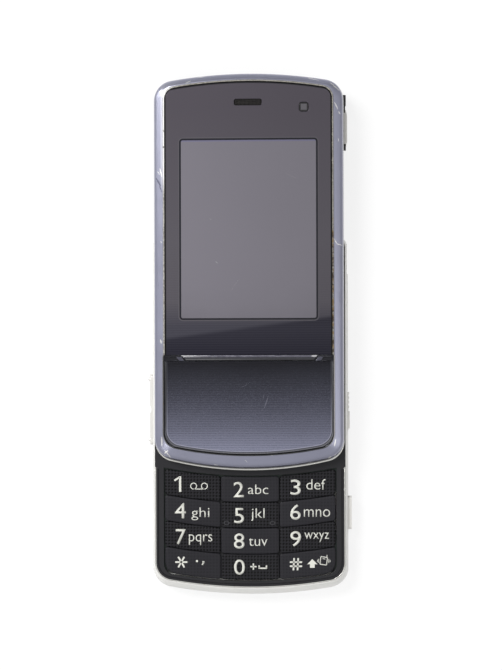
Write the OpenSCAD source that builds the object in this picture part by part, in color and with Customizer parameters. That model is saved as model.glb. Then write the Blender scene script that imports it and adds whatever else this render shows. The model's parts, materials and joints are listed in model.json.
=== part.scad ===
// Slide phone, shown with its upper half slid open.
// X runs across the phone, Y along it towards the earpiece, Z out of the screen.
// The origin is on the table, under the middle of the lower half.

/* [Lower half] */
// Width of the lower half at its widest
base_w = 50; // [46:0.5:54]
// Length of the lower half along the middle line
base_len = 93.3; // [91:0.1:98]
// Thickness of the lower half, from the table to the keypad face
base_t = 6.2; // [6:0.1:7.2]
// Width of the silver side that shows beside the black face
side_show = 0.75; // [0.5:0.05:1.2]
// Length of the silver lip that shows below the black face
lip_show = 1.9; // [1.2:0.1:3]
// Plan radius of the two bottom corners
base_corner = 5.4; // [4:0.1:7]
// Plan radius of the two top corners
base_top_corner = 2.6; // [2:0.1:4]
// Thickness of the tub's side wall
tub_wall = 1.5; // [1.2:0.1:1.8]

/* [Upper half] */
// Width of the upper half
slider_w = 48; // [46:0.5:50]
// Length of the upper half along the middle line
slider_len = 100.2; // [98:0.1:106]
// Thickness of the upper half
slider_t = 5.2; // [5:0.1:6]
// Plan radius of the upper half's corners
slider_corner = 5.2; // [4:0.1:7]
// Distance that the upper half slides
slide_travel = 31; // [28:0.5:32]
// Running gap between the two halves
face_gap = 0.3; // [0.25:0.05:0.5]
// Lip of the lower half left showing when the phone is closed
closed_lip = 1.1; // [0.5:0.1:2]
// Radius of the long arcs that end both halves
end_r = 118; // [90:1:150]
// Radius of the arc at the upper half's lower end
chin_r = 86; // [75:1:120]

/* [Front] */
// Width of the metallic rim beside the screen glass
rim_side = 2.85; // [2.5:0.05:3.4]
// Width of the metallic rim above the glass
rim_top = 2.15; // [1.8:0.05:3]
// Width of the metallic rim below the touch plate
rim_bottom = 3.75; // [3:0.05:5]
// How much wider the touch plate is than the glass
touch_wider = 0.9; // [0:0.1:1.2]
// Thickness of the screen glass
glass_t = 0.8; // [0.6:0.05:1]
// Distance from the upper half's top edge to the glass's lower edge
glass_low = 71.2; // [70:0.1:74]
// Width of the lit screen
screen_w = 34.6; // [32:0.1:36]
// Height of the lit screen
screen_h = 45.3; // [42:0.1:47]
// Distance from the upper half's top edge to the lit screen
screen_low = 16.6; // [15.5:0.1:18]
// Height of the sloping step between glass and touch plate
ledge_h = 1.5; // [1:0.1:2.2]
// Width of the sloping step along its top
ledge_w = 34.8; // [30:0.1:38]
// Depth of the step
ledge_drop = 0.7; // [0.4:0.05:0.9]
// Length of the earpiece slot
ear_slot_w = 7; // [5:0.1:9]
// Height of the earpiece slot
ear_slot_h = 1.6; // [1.2:0.1:2]
// Distance from the upper half's top edge to the earpiece slot's middle
ear_slot_low = 7.4; // [6.6:0.1:8.2]

/* [Keypad] */
// Number of key rows
key_rows = 4; // [3:1:4]
// Height of one key row
key_pitch = 6.6; // [6:0.1:6.8]
// Width of the keypad
keypad_w = 43.6; // [40:0.1:45]
// Width of the middle column
key_mid_w = 14.9; // [13:0.1:16]
// Gap between neighbouring keys
key_gap = 0.14; // [0.1:0.02:0.3]
// Height of the crown on each key
key_crown = 0.2; // [0.1:0.02:0.3]
// Travel of a key
key_travel = 0.25; // [0.15:0.05:0.3]
// Distance from the lip to the keypad's lower edge
keypad_up = 3.75; // [3.5:0.05:4.5]

/* [Slide mechanism] */
// Width of the fixed slide plate
plate_w = 33.6; // [30:0.1:35]
// Length of the fixed slide plate
plate_len = 33; // [28:0.5:34]
// Thickness of the steel slide plates
plate_t = 0.45; // [0.35:0.05:0.5]
// Clearance of the plate in its guide rails
rail_clear = 0.06; // [0.04:0.01:0.1]
// Width of a guide rail
rail_w = 2.4; // [2:0.1:2.6]
// Wire of the slide spring
spring_wire = 0.4; // [0.3:0.05:0.45]

/* [Side keys] */
// Length of the camera key
cam_key_len = 8.5; // [6:0.1:10]
// How far the camera key stands out
cam_key_out = 0.8; // [0.5:0.05:1.2]
// Distance from the lip to the camera key's middle
cam_key_up = 20.9; // [18:0.1:24]
// Travel of the camera key
cam_key_travel = 0.35; // [0.2:0.05:0.4]
// Length of the volume rocker
rocker_len = 18; // [14:0.5:20]
// How far the volume rocker stands out
rocker_out = 0.65; // [0.4:0.05:1]
// Distance from the lip to the rocker's middle
rocker_up = 47.2; // [44:0.1:50]
// Height of the side keys
side_key_h = 2.2; // [1.8:0.1:2.4]
// Length of the connector cover
port_len = 10.6; // [10:0.1:12]
// Distance from the lip to the connector cover's middle
port_up = 47.2; // [44:0.1:50]

/* [Battery] */
// Thickness of the battery cover
cover_t = 0.8; // [0.7:0.05:1]
// Length of the battery cover
cover_len = 76; // [72:0.5:80]
// Width of the battery
batt_w = 35; // [32:0.5:37]
// Length of the battery
batt_len = 44; // [40:0.5:44.5]

/* [Rear camera] */
// Radius of the camera's lens window
lens_r = 2.4; // [2:0.1:2.6]
// How far the camera hump's back stays above the table
hump_lift = 0.5; // [0.3:0.1:1]

/* [Hidden] */
$fa = 5;
$fs = 0.25;

fit = 0.05;                  // sliding fit between small moulded parts
seat_gap = 0.1;              // assembly gap between stacked inner parts
eps = 0.01;                  // overlap that makes a cut run clean through

silver = "#d8d8d4";
black = "#2c2c30";
lavender = "#9395a6";
steel = "#a8adb2";
green = "#1f5a38";
gold = "#c9a24a";
smoke = "#57545b";

// Ends of the two halves with the phone slid open, along Y.
base_y0 = -base_len / 2;
base_y1 = base_len / 2;
slider_y0 = base_y0 + closed_lip + slide_travel;
slider_y1 = slider_y0 + slider_len;
slider_z0 = base_t + face_gap;
slider_z1 = slider_z0 + slider_t;

// Black face of the lower half.
face_w = base_w - 2 * side_show;
face_y0 = base_y0 + lip_show;
face_y1 = base_y1 - side_show;
face_corner = base_corner - side_show;
deck_t = 0.85;

// Inside of the lower half.
board_t = 0.6;
board_z = base_t - deck_t - 0.3 - board_t;
film_t = 0.05;
board_w = base_w - 2 * tub_wall - 2;
board_y0 = base_y0 + tub_wall + 2.4;
board_y1 = base_y1 - tub_wall - 1.4;
batt_t = board_z - cover_t - 2 * seat_gap - 0.1;
batt_y0 = base_y0 + 15.5;
batt_y1 = batt_y0 + batt_len;
bay_gap = 0.4;
cover_y1 = base_y0 + cover_len;

// Room in the tub's upper end for the shield can and the antenna, short of the end's arc.
antenna_y1 = board_y1 - 3.15;
end_len = antenna_y1 - cover_y1;
end_wall = 0.11 * end_len;
can_y0 = cover_y1 + 0.21 * end_len;
can_y1 = can_y0 + 0.36 * end_len;
can_w = board_w / 2;
can_x = -0.12 * board_w;
can_t = 0.2;
antenna_w = board_w * 2 / 3;
antenna_x = -0.07 * board_w;
antenna_h = 0.36 * end_len;
antenna_y = antenna_y1 - antenna_h / 2;

// Keypad.
keypad_y0 = base_y0 + keypad_up;
keypad_y1 = keypad_y0 + key_rows * key_pitch;
key_side_w = (keypad_w - key_mid_w) / 2;
key_round = 0.7;
key_top = base_t + 0.02;
key_base = base_t - deck_t + 0.1;
key_under = key_base + 0.2;
nub_r = 1.2;
opening_clear = 0.2;

// Floor and insides of the upper half.
floor_t = 1.6;
pan_t = 0.4;
pan_z = slider_z0 + floor_t;
inner_z = pan_z + pan_t;
trim_h = 0.35;
bezel_z = slider_z0 + 1.1;
slider_wall = 1.5;
glass_w = slider_w - 2 * rim_side - 0.3;
glass_y0 = slider_y1 - glass_low;
glass_y1 = slider_y1 - rim_top - 0.15;
glass_z = slider_z1 - glass_t - 0.05;
glass_corner = 2.8;
shelf_t = 0.5;
touch_w = slider_w - 2 * rim_side + touch_wider - 0.3;
touch_y0 = slider_y0 + rim_bottom + 0.15;
touch_t = 0.9;
touch_z = slider_z1 - ledge_drop - touch_t;
touch_y1 = glass_y0 - ledge_h;
screen_y1 = slider_y1 - screen_low;
screen_y0 = screen_y1 - screen_h;

// Slide mechanism.
plate_y1 = base_y1 - 5.5;
plate_y0 = plate_y1 - plate_len;
plate_z = slider_z0 + 0.55;
track_w = plate_w + 2 * (rail_w - 1.2) + 0.4;
track_y0 = plate_y0 - 0.5;
track_y1 = plate_y1 + slide_travel + 0.5;
rail_x = plate_w / 2 + rail_w - 1.2;

// Hump behind the upper half's top edge. Its lower edge clears the lower half when closed.
hump_gap = 0.35;
hump_y0 = base_y1 + slide_travel + hump_gap;
hump_inset = 0.35;
hump_w = slider_w - 2 * hump_inset;
hump_wall = 0.8;
camera_y = (hump_y0 + slider_y1) / 2 - 0.3;
camera_x = -7;

// Eyelet for a wrist strap, on an arm that runs down beside the lower half when closed.
// The arm hangs from a root at the hump's side.
arm_len = 11;
arm_y1 = hump_y0 - 0.4;
arm_y0 = arm_y1 - arm_len;
arm_x1 = base_w / 2 - 0.1;
arm_x0 = arm_x1 - 2.6;
arm_z0 = 1.9;
arm_z1 = 4.6;
bar_t = 0.9;
bar_in = 0.35;
arm_lug = 1.5;
arm_root = 2.6;
lug_seat = 0.7;

// Side keys.
side_key_z = 3.4;
side_key_z0 = side_key_z - side_key_h / 2;
side_key_z1 = side_key_z + side_key_h / 2;
cam_key_y = base_y0 + cam_key_up;
rocker_y = base_y0 + rocker_up;
port_y = base_y0 + port_up;
port_h = 3.1;
port_z0 = side_key_z - port_h / 2;
port_z1 = side_key_z + port_h / 2;
port_t = 1;
port_pin_y = port_y + port_len / 2 + 0.1;
port_pin_x = base_w / 2 - 0.8;
port_knuckle_r = 0.7;
port_x1 = base_w / 2 - port_t - 0.4;
port_x0 = batt_w / 2 + bay_gap + 1.1;
port_shell_w = 7.6;
port_shell_t = 0.3;

// ---- Outlines -------------------------------------------------------------------------------

// How far inside the end arc's apex a corner's centre lies.
function corner_drop(w, r, end) = end - sqrt(pow(end - r, 2) - pow(w / 2 - r, 2));

// Height of the end arc above its apex, at a distance x from the middle.
function arc_rise(x, end) = end - sqrt(end * end - x * x);

// Flat outline with arched ends and round corners. y0 and y1 are the apexes of its two ends.
// The corners stand a trace proud of the end arcs, so that the arcs cross instead of just touching.
corner_proud = 0.01;

module arched(w, y0, y1, r0, r1, end0 = end_r, end1 = end_r) {
    mid = (y0 + y1) / 2;
    c0 = y0 + corner_drop(w, r0, end0) - corner_proud;
    c1 = y1 - corner_drop(w, r1, end1) + corner_proud;
    t0 = (w / 2 - r0) * end0 / (end0 - r0);
    t1 = (w / 2 - r1) * end1 / (end1 - r1);
    intersection() {
        translate([0, y0 + end0]) circle(end0);
        translate([-t0, y0 - 1]) square([2 * t0, mid - y0 + 1]);
    }
    intersection() {
        translate([0, y1 - end1]) circle(end1);
        translate([-t1, mid]) square([2 * t1, y1 - mid + 1]);
    }
    translate([-w / 2, c0]) square([w, c1 - c0]);
    for (side = [-1, 1]) {
        translate([side * (w / 2 - r0), c0]) circle(r0);
        translate([side * (w / 2 - r1), c1]) circle(r1);
    }
}

// Points of the same outline, for lofting. Each arc leaves its last point to the next one.
function arc_points(cx, cy, r, from, to, n) =
    [for (i = [0:n - 1]) let (a = from + (to - from) * i / n) [cx + r * cos(a), cy + r * sin(a)]];

corner_steps = 8;
end_steps = 16;

function arched_points(w, y0, y1, r0, r1, end0, end1) =
    let (
        x0 = w / 2 - r0,
        x1 = w / 2 - r1,
        c0 = y0 + corner_drop(w, r0, end0),
        c1 = y1 - corner_drop(w, r1, end1),
        a1 = acos(x1 / (end1 - r1)),
        a0 = acos(x0 / (end0 - r0))
    )
    concat(
        arc_points(x1, c1, r1, 0, a1, corner_steps),
        arc_points(0, y1 - end1, end1, a1, 180 - a1, end_steps),
        arc_points(-x1, c1, r1, 180 - a1, 180, corner_steps),
        arc_points(-x0, c0, r0, 180, 180 + a0, corner_steps),
        arc_points(0, y0 + end0, end0, 180 + a0, 360 - a0, end_steps),
        arc_points(x0, c0, r0, 360 - a0, 360, corner_steps)
    );

// Solid skin through rings of equally many points, from the lowest ring to the highest.
module loft(rings) {
    n = len(rings[0]);
    last = len(rings) - 1;
    points = [for (ring = rings) for (p = ring) p];
    sides = [for (k = [0:last - 1]) for (i = [0:n - 1]) let (j = (i + 1) % n)
        each [[k * n + i, (k + 1) * n + j, k * n + j], [k * n + i, (k + 1) * n + i, (k + 1) * n + j]]];
    polyhedron(points = points,
        faces = concat([[for (i = [0:n - 1]) i]], sides, [[for (i = [n - 1:-1:0]) last * n + i]]));
}

// Rings of an arched shell. Each level is [z, side inset, bottom inset, top inset].
function shell_rings(levels, w, y0, y1, r0, r1, end0, end1) =
    [for (v = levels) [for (p = arched_points(w - 2 * v[1], y0 + v[2], y1 - v[3],
        max(0.6, r0 - v[1]), max(0.6, r1 - v[1]), end0, end1)) [p[0], p[1], v[0]]]];

module slab(z0, z1) {
    translate([0, 0, z0]) linear_extrude(z1 - z0) children();
}

module box(x, y, z) {
    translate([x[0], y[0], z[0]]) cube([x[1] - x[0], y[1] - y[0], z[1] - z[0]]);
}

// Flat rounded rectangle about the middle.
module rounded(w, h, r) {
    square([w - 2 * r, h], center = true);
    square([w, h - 2 * r], center = true);
    for (x = [-1, 1], y = [-1, 1]) translate([x * (w / 2 - r), y * (h / 2 - r)]) circle(r);
}

module rod(x, y, z0, z1, r) {
    translate([x, y, z0]) cylinder(h = z1 - z0, r = r);
}

// ---- Lower half -----------------------------------------------------------------------------

base_levels = [
    [0, 2.2, 2.6, 2.2], [0.25, 1.35, 1.6, 1.3], [0.6, 0.8, 1, 0.75], [1.1, 0.42, 0.55, 0.4],
    [1.9, 0.12, 0.18, 0.12], [3, 0, 0, 0], [4.1, 0.02, 0.12, 0.02], [base_t - 1.1, 0.16, 0.6, 0.16],
    [base_t - 0.45, 0.38, 1.2, 0.38], [base_t - 0.1, side_show - 0.1, lip_show - 0.25, side_show - 0.1]
];

module base_skin() {
    loft(shell_rings(base_levels, base_w, base_y0, base_y1, base_corner, base_top_corner, end_r, end_r));
}

module face_outline(inset = 0) {
    arched(face_w - 2 * inset, face_y0 + inset, face_y1 - inset, face_corner - inset,
        max(0.6, base_top_corner - side_show - inset));
}

// Space that the strap arm takes beside the lower half when the phone is closed.
relief_y0 = arm_y0 - slide_travel - 0.6;
relief_x0 = arm_x0 - 0.3;
seam_y = [relief_y0 + 3.4, relief_y0 + 7.6];

module relief_keep(wall) {
    translate([relief_x0 - wall, relief_y0 - wall]) square([base_w, base_len]);
}

module tub_outline() {
    difference() {
        arched(base_w - 2 * tub_wall - 0.6, base_y0 + tub_wall + 1.9, base_y1 - tub_wall - 0.9,
            base_corner - tub_wall, 1.2);
        relief_keep(0.6);
    }
}

screw_y = [keypad_y1 + 4.6, cover_y1 - 5];
screw_x = (batt_w / 2 + bay_gap + board_w / 2) / 2 + 0.1;
screw_spots = [for (x = [-1, 1]) for (y = screw_y) [x * screw_x, y]];
screw_r = 0.8;

// Rooms in the tub for what hangs under the board.
card_y0 = batt_y1 + 0.7;
card_y1 = cover_y1 - 0.9;
card_x = [-batt_w / 2 + 1.9, batt_w / 2 - 7.1];
mic_x = -0.28 * base_w;
mic_y = base_y0 + 6.4;
mic_r = 1.5;
speaker_y = base_y0 + 8.9;
speaker_w = 15.8;
speaker_h = 8.8;
mesh_w = 10.1;
mesh_h = 3.9;
hook_y = [batt_y0 + 8, batt_y0 + 34];
hook_x = batt_w / 2 + 0.9;
hook_slide = 4;

// Hollow end of the tub above the battery and the card holder.
module end_room() {
    difference() {
        arched(base_w - 2 * tub_wall - 2.6, 0, base_y1 - tub_wall - 2, 2, 1.2);
        relief_keep(0.8);
        translate([-base_w, -base_len]) square([2 * base_w, base_len + cover_y1 + end_wall]);
    }
}

// Slot for one hook of the battery cover, wide at its lower end where the hook drops in.
module hook_slot(side, y) {
    mirror([side < 0 ? 1 : 0, 0, 0]) {
        box([hook_x - 0.1, hook_x + 1.3], [y - 1.6 - hook_slide, y + 1.6], [cover_t + 0.3, cover_t + 0.8]);
        box([hook_x - 0.1, hook_x + 0.9], [y - 1.6 - hook_slide, y + 1.6], [0, cover_t + 0.8]);
        box([hook_x - 0.1, hook_x + 1.3], [y - 1.7 - hook_slide, y + 1.6 - hook_slide], [0, cover_t + 0.8]);
    }
}

// Silver tub: side walls, battery bay, and the back above the battery cover.
module rear_housing() {
    color(silver) difference() {
        base_skin();
        // room for the board and the deck
        slab(board_z - seat_gap, base_t) tub_outline();
        slab(base_t - deck_t, base_t + eps) face_outline(-fit);
        // battery bay and the room for its contacts
        box([-batt_w / 2 - bay_gap, batt_w / 2 + bay_gap], [batt_y0 - bay_gap, batt_y1 + bay_gap],
            [-eps, board_z]);
        box([card_x[1] + 1, batt_w / 2], [batt_y1, batt_y1 + 3], [cover_t + 0.6, board_z]);
        // bay for the card holder, open to the battery bay
        box(card_x, [batt_y1, card_y1], [-eps, board_z]);
        slab(cover_t + 1, board_z) end_room();
        // loudspeaker seat and its sound opening
        slab(cover_t + 0.55, board_z) translate([0, speaker_y]) rounded(speaker_w + 0.6, speaker_h + 0.6, 3);
        slab(-eps, board_z) translate([0, speaker_y]) rounded(mesh_w + 0.4, mesh_h + 0.3, 1.8);
        // microphone pocket and its duct to the lower end
        rod(mic_x, mic_y, board_z - 1.1, board_z, mic_r + 0.15);
        translate([mic_x, mic_y, board_z - 0.6]) rotate([90, 0, 0]) cylinder(h = 10, r = 0.4);
        // recess for the battery cover
        box([-base_w, base_w], [base_y0 - 1, cover_y1 + fit], [-1, cover_t + fit]);
        for (side = [-1, 1], y = hook_y) hook_slot(side, y);
        // screws through to the deck
        for (s = screw_spots) {
            rod(s[0], s[1], -eps, board_z, screw_r + 0.1);
            rod(s[0], s[1], -eps, cover_t + 1.3, screw_r + 0.75);
        }
        // side key slots, with room for the switches behind them
        side_slot(1, cam_key_y, cam_key_len);
        side_slot(-1, rocker_y, rocker_len);
        for (s = side_switch_spots()) mirror([s[0] < 0 ? 1 : 0, 0, 0])
            box([base_w / 2 - 4.6, base_w / 2 - 3.2], [s[1] - 1.9, s[1] + 1.9], [side_key_z - 1.1, board_z]);
        rod(-base_w / 2 + pin_in, rocker_y, side_key_z0 - 0.5, side_key_z1 + 0.5, pin_r);
        // connector room, and the seat and hinge of its cover
        box([port_x0 - 0.4, base_w], [port_y - 4.2, port_y + 3.6], [port_z0 + 0.4, board_z]);
        box([base_w / 2 - port_t - 0.2, base_w], [port_y - port_len / 2 - 0.15, port_pin_y - 0.6],
            [port_z0 - 0.1, port_z1 + 0.1]);
        box([port_pin_x - 0.8, base_w], [port_pin_y - 0.9, port_pin_y + 0.9],
            [side_key_z - 0.8, side_key_z + 0.8]);
        rod(port_pin_x, port_pin_y, port_z0 + 0.25, port_z1 - 0.25, port_pin_r);
        // relief for the strap arm, and the shallow step along it
        box([relief_x0, base_w], [relief_y0, base_y1 + 1], [arm_z0 - 0.4, arm_z1 + 0.4]);
        box([base_w / 2 - 0.22, base_w], [relief_y0, base_y1 + 1], [1, base_t]);
        for (y = seam_y) box([base_w / 2 - 0.4, base_w], [y, y + 0.15], [1.2, base_t]);
    }
}

port_pin_r = 0.33;
pin_r = 0.4;
pin_in = 1.15;

module side_slot(side, y, length) {
    x = side * base_w / 2;
    box([min(x - side * 2.2, x + side), max(x - side * 2.2, x + side)],
        [y - length / 2 - 0.12, y + length / 2 + 0.12],
        [side_key_z0 - 0.1, side_key_z1 + 0.1]);
    box([min(x - side * 3.4, x - side * 1.9), max(x - side * 3.4, x - side * 1.9)],
        [y - length / 2 - 0.8, y + length / 2 + 0.8],
        [side_key_z0 - 0.1, board_z]);
}

// Flat keypad region between the arcs of its lower and upper edges.
module keypad_band(grow) {
    intersection() {
        translate([0, keypad_y0 - grow + end_r]) circle(end_r);
        translate([-keypad_w / 2 - grow, keypad_y0 - 1]) square([keypad_w + 2 * grow, base_len / 2]);
    }
}

module keypad_opening() {
    difference() {
        keypad_band(opening_clear);
        translate([0, keypad_y1 + opening_clear + end_r]) circle(end_r);
        for (side = [-1, 1]) bottom_corner(side);
    }
}

// What the round lower corner of the keypad leaves outside.
keypad_corner = 2.6;
module bottom_corner(side) {
    w = keypad_w / 2 + opening_clear;
    r = keypad_corner + opening_clear;
    y = keypad_y0 - opening_clear + corner_drop(2 * w, r, end_r);
    touch = (w - r) * end_r / (end_r - r);
    mirror([side < 0 ? 1 : 0, 0]) difference() {
        translate([touch, y - r - 1]) square([w + 1 - touch, r + 1]);
        translate([w - r, y]) circle(r);
    }
}

boss_spots = [for (x = [-1, 1]) for (y = [plate_y0 + 4, plate_y1 - 4]) [x * (plate_w / 2 - 3.4), y]];
flex_x = 8;
flex_w = 7;
flex_low_y = plate_y0 + 12;
flex_high_y = flex_low_y + slide_travel / 2 + 11;
flex_bend_y = flex_high_y + 4;

// Black face with the keypad opening. It carries the fixed slide plate on four bosses.
module front_deck() {
    color(black) difference() {
        union() {
            slab(base_t - deck_t, base_t) face_outline();
            for (b = boss_spots) rod(b[0], b[1], base_t - eps, plate_z, 2);
            for (s = screw_spots) rod(s[0], s[1], board_z + board_t, base_t - deck_t + eps, 1.6);
        }
        slab(base_t - deck_t - eps, base_t + eps) keypad_opening();
        for (b = boss_spots) rod(b[0], b[1], base_t - deck_t - eps, plate_z + eps, 0.6);
        for (s = screw_spots) rod(s[0], s[1], board_z, base_t - 0.3, screw_r - 0.15);
        // groove that frames the keypad
        slab(base_t - 0.2, base_t + eps) difference() {
            intersection() { face_outline(0.75); below_slider(); }
            face_outline(0.95);
        }
        // seat of the bright inlay
        slab(base_t - 0.3, base_t + eps) difference() {
            intersection() { face_outline(-1); below_slider(0.5); }
            face_outline(0.3);
        }
        // slot for the flexible circuit
        box([flex_x - flex_w / 2 - 0.3, flex_x + flex_w / 2 + 0.3], [flex_low_y - 0.6, flex_low_y + 0.8],
            [base_t - deck_t - eps, base_t + eps]);
    }
}

// Half plane of the face that the open upper half leaves uncovered.
module below_slider(up = 0) {
    translate([-base_w, base_y0 - 5]) square([2 * base_w, slider_y0 + up - base_y0 + 5]);
}

module keypad_trim() {
    color("#c9c5b8") slab(base_t - 0.3 + fit, base_t + 0.04) difference() {
        intersection() { face_outline(0.02); below_slider(0.4); }
        face_outline(0.28);
    }
}

// The three rows of slots over the loudspeaker.
speaker_slots = 3;
module speaker_slots(w, h) {
    for (i = [0:speaker_slots - 1]) translate([0, (i - (speaker_slots - 1) / 2) * 1.3])
        rounded(w, h, h / 2 - eps);
}

// Battery cover, cut from the same rounded skin as the tub. It slides off towards the lip.
module battery_cover() {
    color(silver) {
        difference() {
            intersection() {
                base_skin();
                box([-base_w, base_w], [base_y0 - 1, cover_y1 - fit], [-1, cover_t]);
            }
            slab(-eps, cover_t + eps) translate([0, speaker_y]) speaker_slots(mesh_w - 1.1, 0.7);
            // thumb grip, three shallow grooves near the upper edge
            for (i = [0:2]) slab(-eps, 0.25) translate([0, cover_y1 - 6 - 2 * i])
                rounded(12 - 2 * i, 0.8, 0.39);
        }
        // hooks that run in slots of the tub
        for (side = [0, 1], y = hook_y) mirror([side, 0, 0]) {
            box([hook_x, hook_x + 0.8], [y - 1.5, y + 1.5], [cover_t - eps, cover_t + 0.7]);
            box([hook_x, hook_x + 1.2], [y - 1.5, y + 1.5], [cover_t + 0.35, cover_t + 0.7]);
        }
    }
}

module battery() {
    color("#3a4a5c") difference() {
        union() {
            box([-batt_w / 2, batt_w / 2], [batt_y0, batt_y1 - 1.6],
                [cover_t + seat_gap, cover_t + seat_gap + batt_t]);
            box([-batt_w / 2 + 1, batt_w / 2 - 1], [batt_y1 - 1.6 - eps, batt_y1],
                [cover_t + 0.75, cover_t + seat_gap + batt_t]);
        }
        // finger notch at the lower end
        rod(0, batt_y0, cover_t - 1, cover_t + 1.4, 3.5);
    }
    // contact pads on the upper end
    color(gold) for (i = [-1:1]) box([contact_x + i * 1.8 - 0.6, contact_x + i * 1.8 + 0.6],
        [batt_y1 - eps, batt_y1 + 0.05], [cover_t + 1.6, cover_t + 2.6]);
}

contact_x = batt_w / 2 - 3.3;

// Three leaf springs that press on the battery's pads.
module battery_contacts() {
    y = batt_y1 + 0.08;
    color(gold) for (i = [-1:1]) {
        box([contact_x + i * 1.8 - 0.4, contact_x + i * 1.8 + 0.4], [y, y + 0.15], [cover_t + 1.5, board_z]);
        box([contact_x + i * 1.8 - 0.4, contact_x + i * 1.8 + 0.4], [y, y + 1.6], [board_z - 0.15, board_z]);
    }
}

module board_outline() {
    arched(board_w, board_y0, board_y1, 2.6, 1.5);
}

module main_board() {
    color(green) difference() {
        slab(board_z, board_z + board_t) board_outline();
        for (s = screw_spots) rod(s[0], s[1], board_z - eps, board_z + board_t + eps, screw_r + 0.2);
        // clear of the strap arm's relief, of the side keys and of their switches
        slab(board_z - eps, base_t) relief_keep(0.9);
        for (s = side_switch_spots()) mirror([s[0] < 0 ? 1 : 0, 0, 0])
            box([base_w / 2 - 4.55, base_w], [s[1] - 1.9, s[1] + 1.9], [board_z - eps, base_t]);
        for (k = [[1, cam_key_y, cam_key_len], [-1, rocker_y, rocker_len]]) mirror([k[0] < 0 ? 1 : 0, 0, 0])
            box([base_w / 2 - 3.5, base_w], [k[1] - k[2] / 2 - 1, k[1] + k[2] / 2 + 1],
                [board_z - eps, base_t]);
    }
}

// Clicking domes under the twelve keys, on one adhesive film.
module dome_sheet() {
    color("#d9dde0") {
        slab(board_z + board_t, board_z + board_t + film_t) difference() {
            keypad_band(-0.8);
            translate([0, keypad_y1 - 0.8 + end_r]) circle(end_r);
        }
        for (row = [0:key_rows - 1], col = [-1:1]) dome(key_x(col), key_y(row, col), board_z + board_t);
    }
}

dome_r = 2;
dome_crown = 0.03;
dome_top = key_base - key_travel - 0.02 - board_z - board_t;

// A dome has a sloping skirt and a flatter crown.
module dome(x, y, z) {
    translate([x, y, z + film_t - eps]) {
        cylinder(h = dome_top - film_t - dome_crown + eps, r1 = dome_r, r2 = dome_r * 0.6);
        translate([0, 0, dome_top - film_t - dome_crown])
            cylinder(h = dome_crown + eps, r1 = dome_r * 0.6, r2 = dome_r * 0.25);
    }
}

function key_x(col) = col * (key_mid_w + key_side_w) / 2;
function key_y(row, col) = keypad_y0 + (row + 0.5) * key_pitch + arc_rise(key_x(col), end_r);

// Soft mat that carries the caps. Each cap's nub reaches a dome through it.
module key_mat() {
    color("#8b8d90") slab(key_base - key_travel, key_under - key_travel - 0.06) difference() {
        keypad_band(-0.4);
        translate([0, keypad_y1 - 0.4 + end_r]) circle(end_r);
        for (row = [0:key_rows - 1], col = [-1:1]) translate([key_x(col), key_y(row, col)])
            circle(nub_r + 0.2);
    }
}

// ---- Keys -----------------------------------------------------------------------------------

// Ring of a key's outline. Its lower and upper edges follow the keypad's arcs.
function key_ring(x0, x1, y0, y1, inset, z, radii) =
    let (
        r = [for (c = radii) max(0.12, c - inset)],
        a = x0 + inset, b = x1 - inset, c = y0 + inset, d = y1 - inset,
        flat = concat(
            arc_points(b - r[0], c + r[0], r[0], -90, 0, 4), [[b, c + r[0]]],
            arc_points(b - r[1], d - r[1], r[1], 0, 90, 4), [[b - r[1], d]],
            [for (i = [1:3]) [b - r[1] + (a + r[2] - b + r[1]) * i / 4, d]],
            arc_points(a + r[2], d - r[2], r[2], 90, 180, 4), [[a, d - r[2]]],
            arc_points(a + r[3], c + r[3], r[3], 180, 270, 4), [[a + r[3], c]],
            [for (i = [1:3]) [a + r[3] + (b - r[0] - a - r[3]) * i / 4, c]]
        )
    )
    [for (p = flat) [p[0], p[1] + arc_rise(p[0], end_r), z]];

module key(row, col) {
    x0 = (col < 0 ? -keypad_w / 2 : col > 0 ? key_mid_w / 2 : -key_mid_w / 2) + key_gap / 2;
    x1 = (col < 0 ? -key_mid_w / 2 : col > 0 ? keypad_w / 2 : key_mid_w / 2) - key_gap / 2;
    y0 = keypad_y0 + row * key_pitch + key_gap / 2;
    y1 = keypad_y0 + (row + 1) * key_pitch - key_gap / 2;
    // corners: lower right, upper right, upper left, lower left
    outer = row == 0 ? keypad_corner : key_round;
    radii = [col > 0 ? outer : key_round, key_round, key_round, col < 0 ? outer : key_round];
    color(black) {
        loft([
            key_ring(x0, x1, y0, y1, 0, key_under, radii),
            key_ring(x0, x1, y0, y1, 0, key_top - key_crown, radii),
            key_ring(x0, x1, y0, y1, 0.1, key_top - key_crown * 0.35, radii),
            key_ring(x0, x1, y0, y1, 0.35, key_top - key_crown * 0.08, radii),
            key_ring(x0, x1, y0, y1, 0.9, key_top, radii)
        ]);
        rod(key_x(col), key_y(row, col), key_base, key_under + 0.05, nub_r);
    }
}

// ---- Parts on the lower half's board ----------------------------------------------------------

module shield_can() {
    x0 = can_x - can_w / 2;
    x1 = can_x + can_w / 2;
    color(steel) difference() {
        box([x0, x1], [can_y0, can_y1], [board_z - 1.6, board_z - 0.02]);
        box([x0 + can_t, x1 - can_t], [can_y0 + can_t, can_y1 - can_t], [board_z - 1.6 + can_t, board_z]);
    }
}

// Sprung metal holder for a subscriber card, open towards the battery.
module card_holder() {
    x = [card_x[0] + 0.3, card_x[1] - 0.3];
    color(steel) difference() {
        box(x, [card_y0, card_y1 - 0.3], [board_z - 1.4, board_z - 0.02]);
        box([x[0] + 0.25, x[1] - 0.25], [card_y0 - 1, card_y1 - 0.55], [board_z - 1.15, board_z - 0.2]);
        box([x[0] + 4, x[1] - 4], [card_y0 - 1, card_y1 - 3.5], [board_z - 1.5, board_z - 1]);
    }
}

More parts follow.
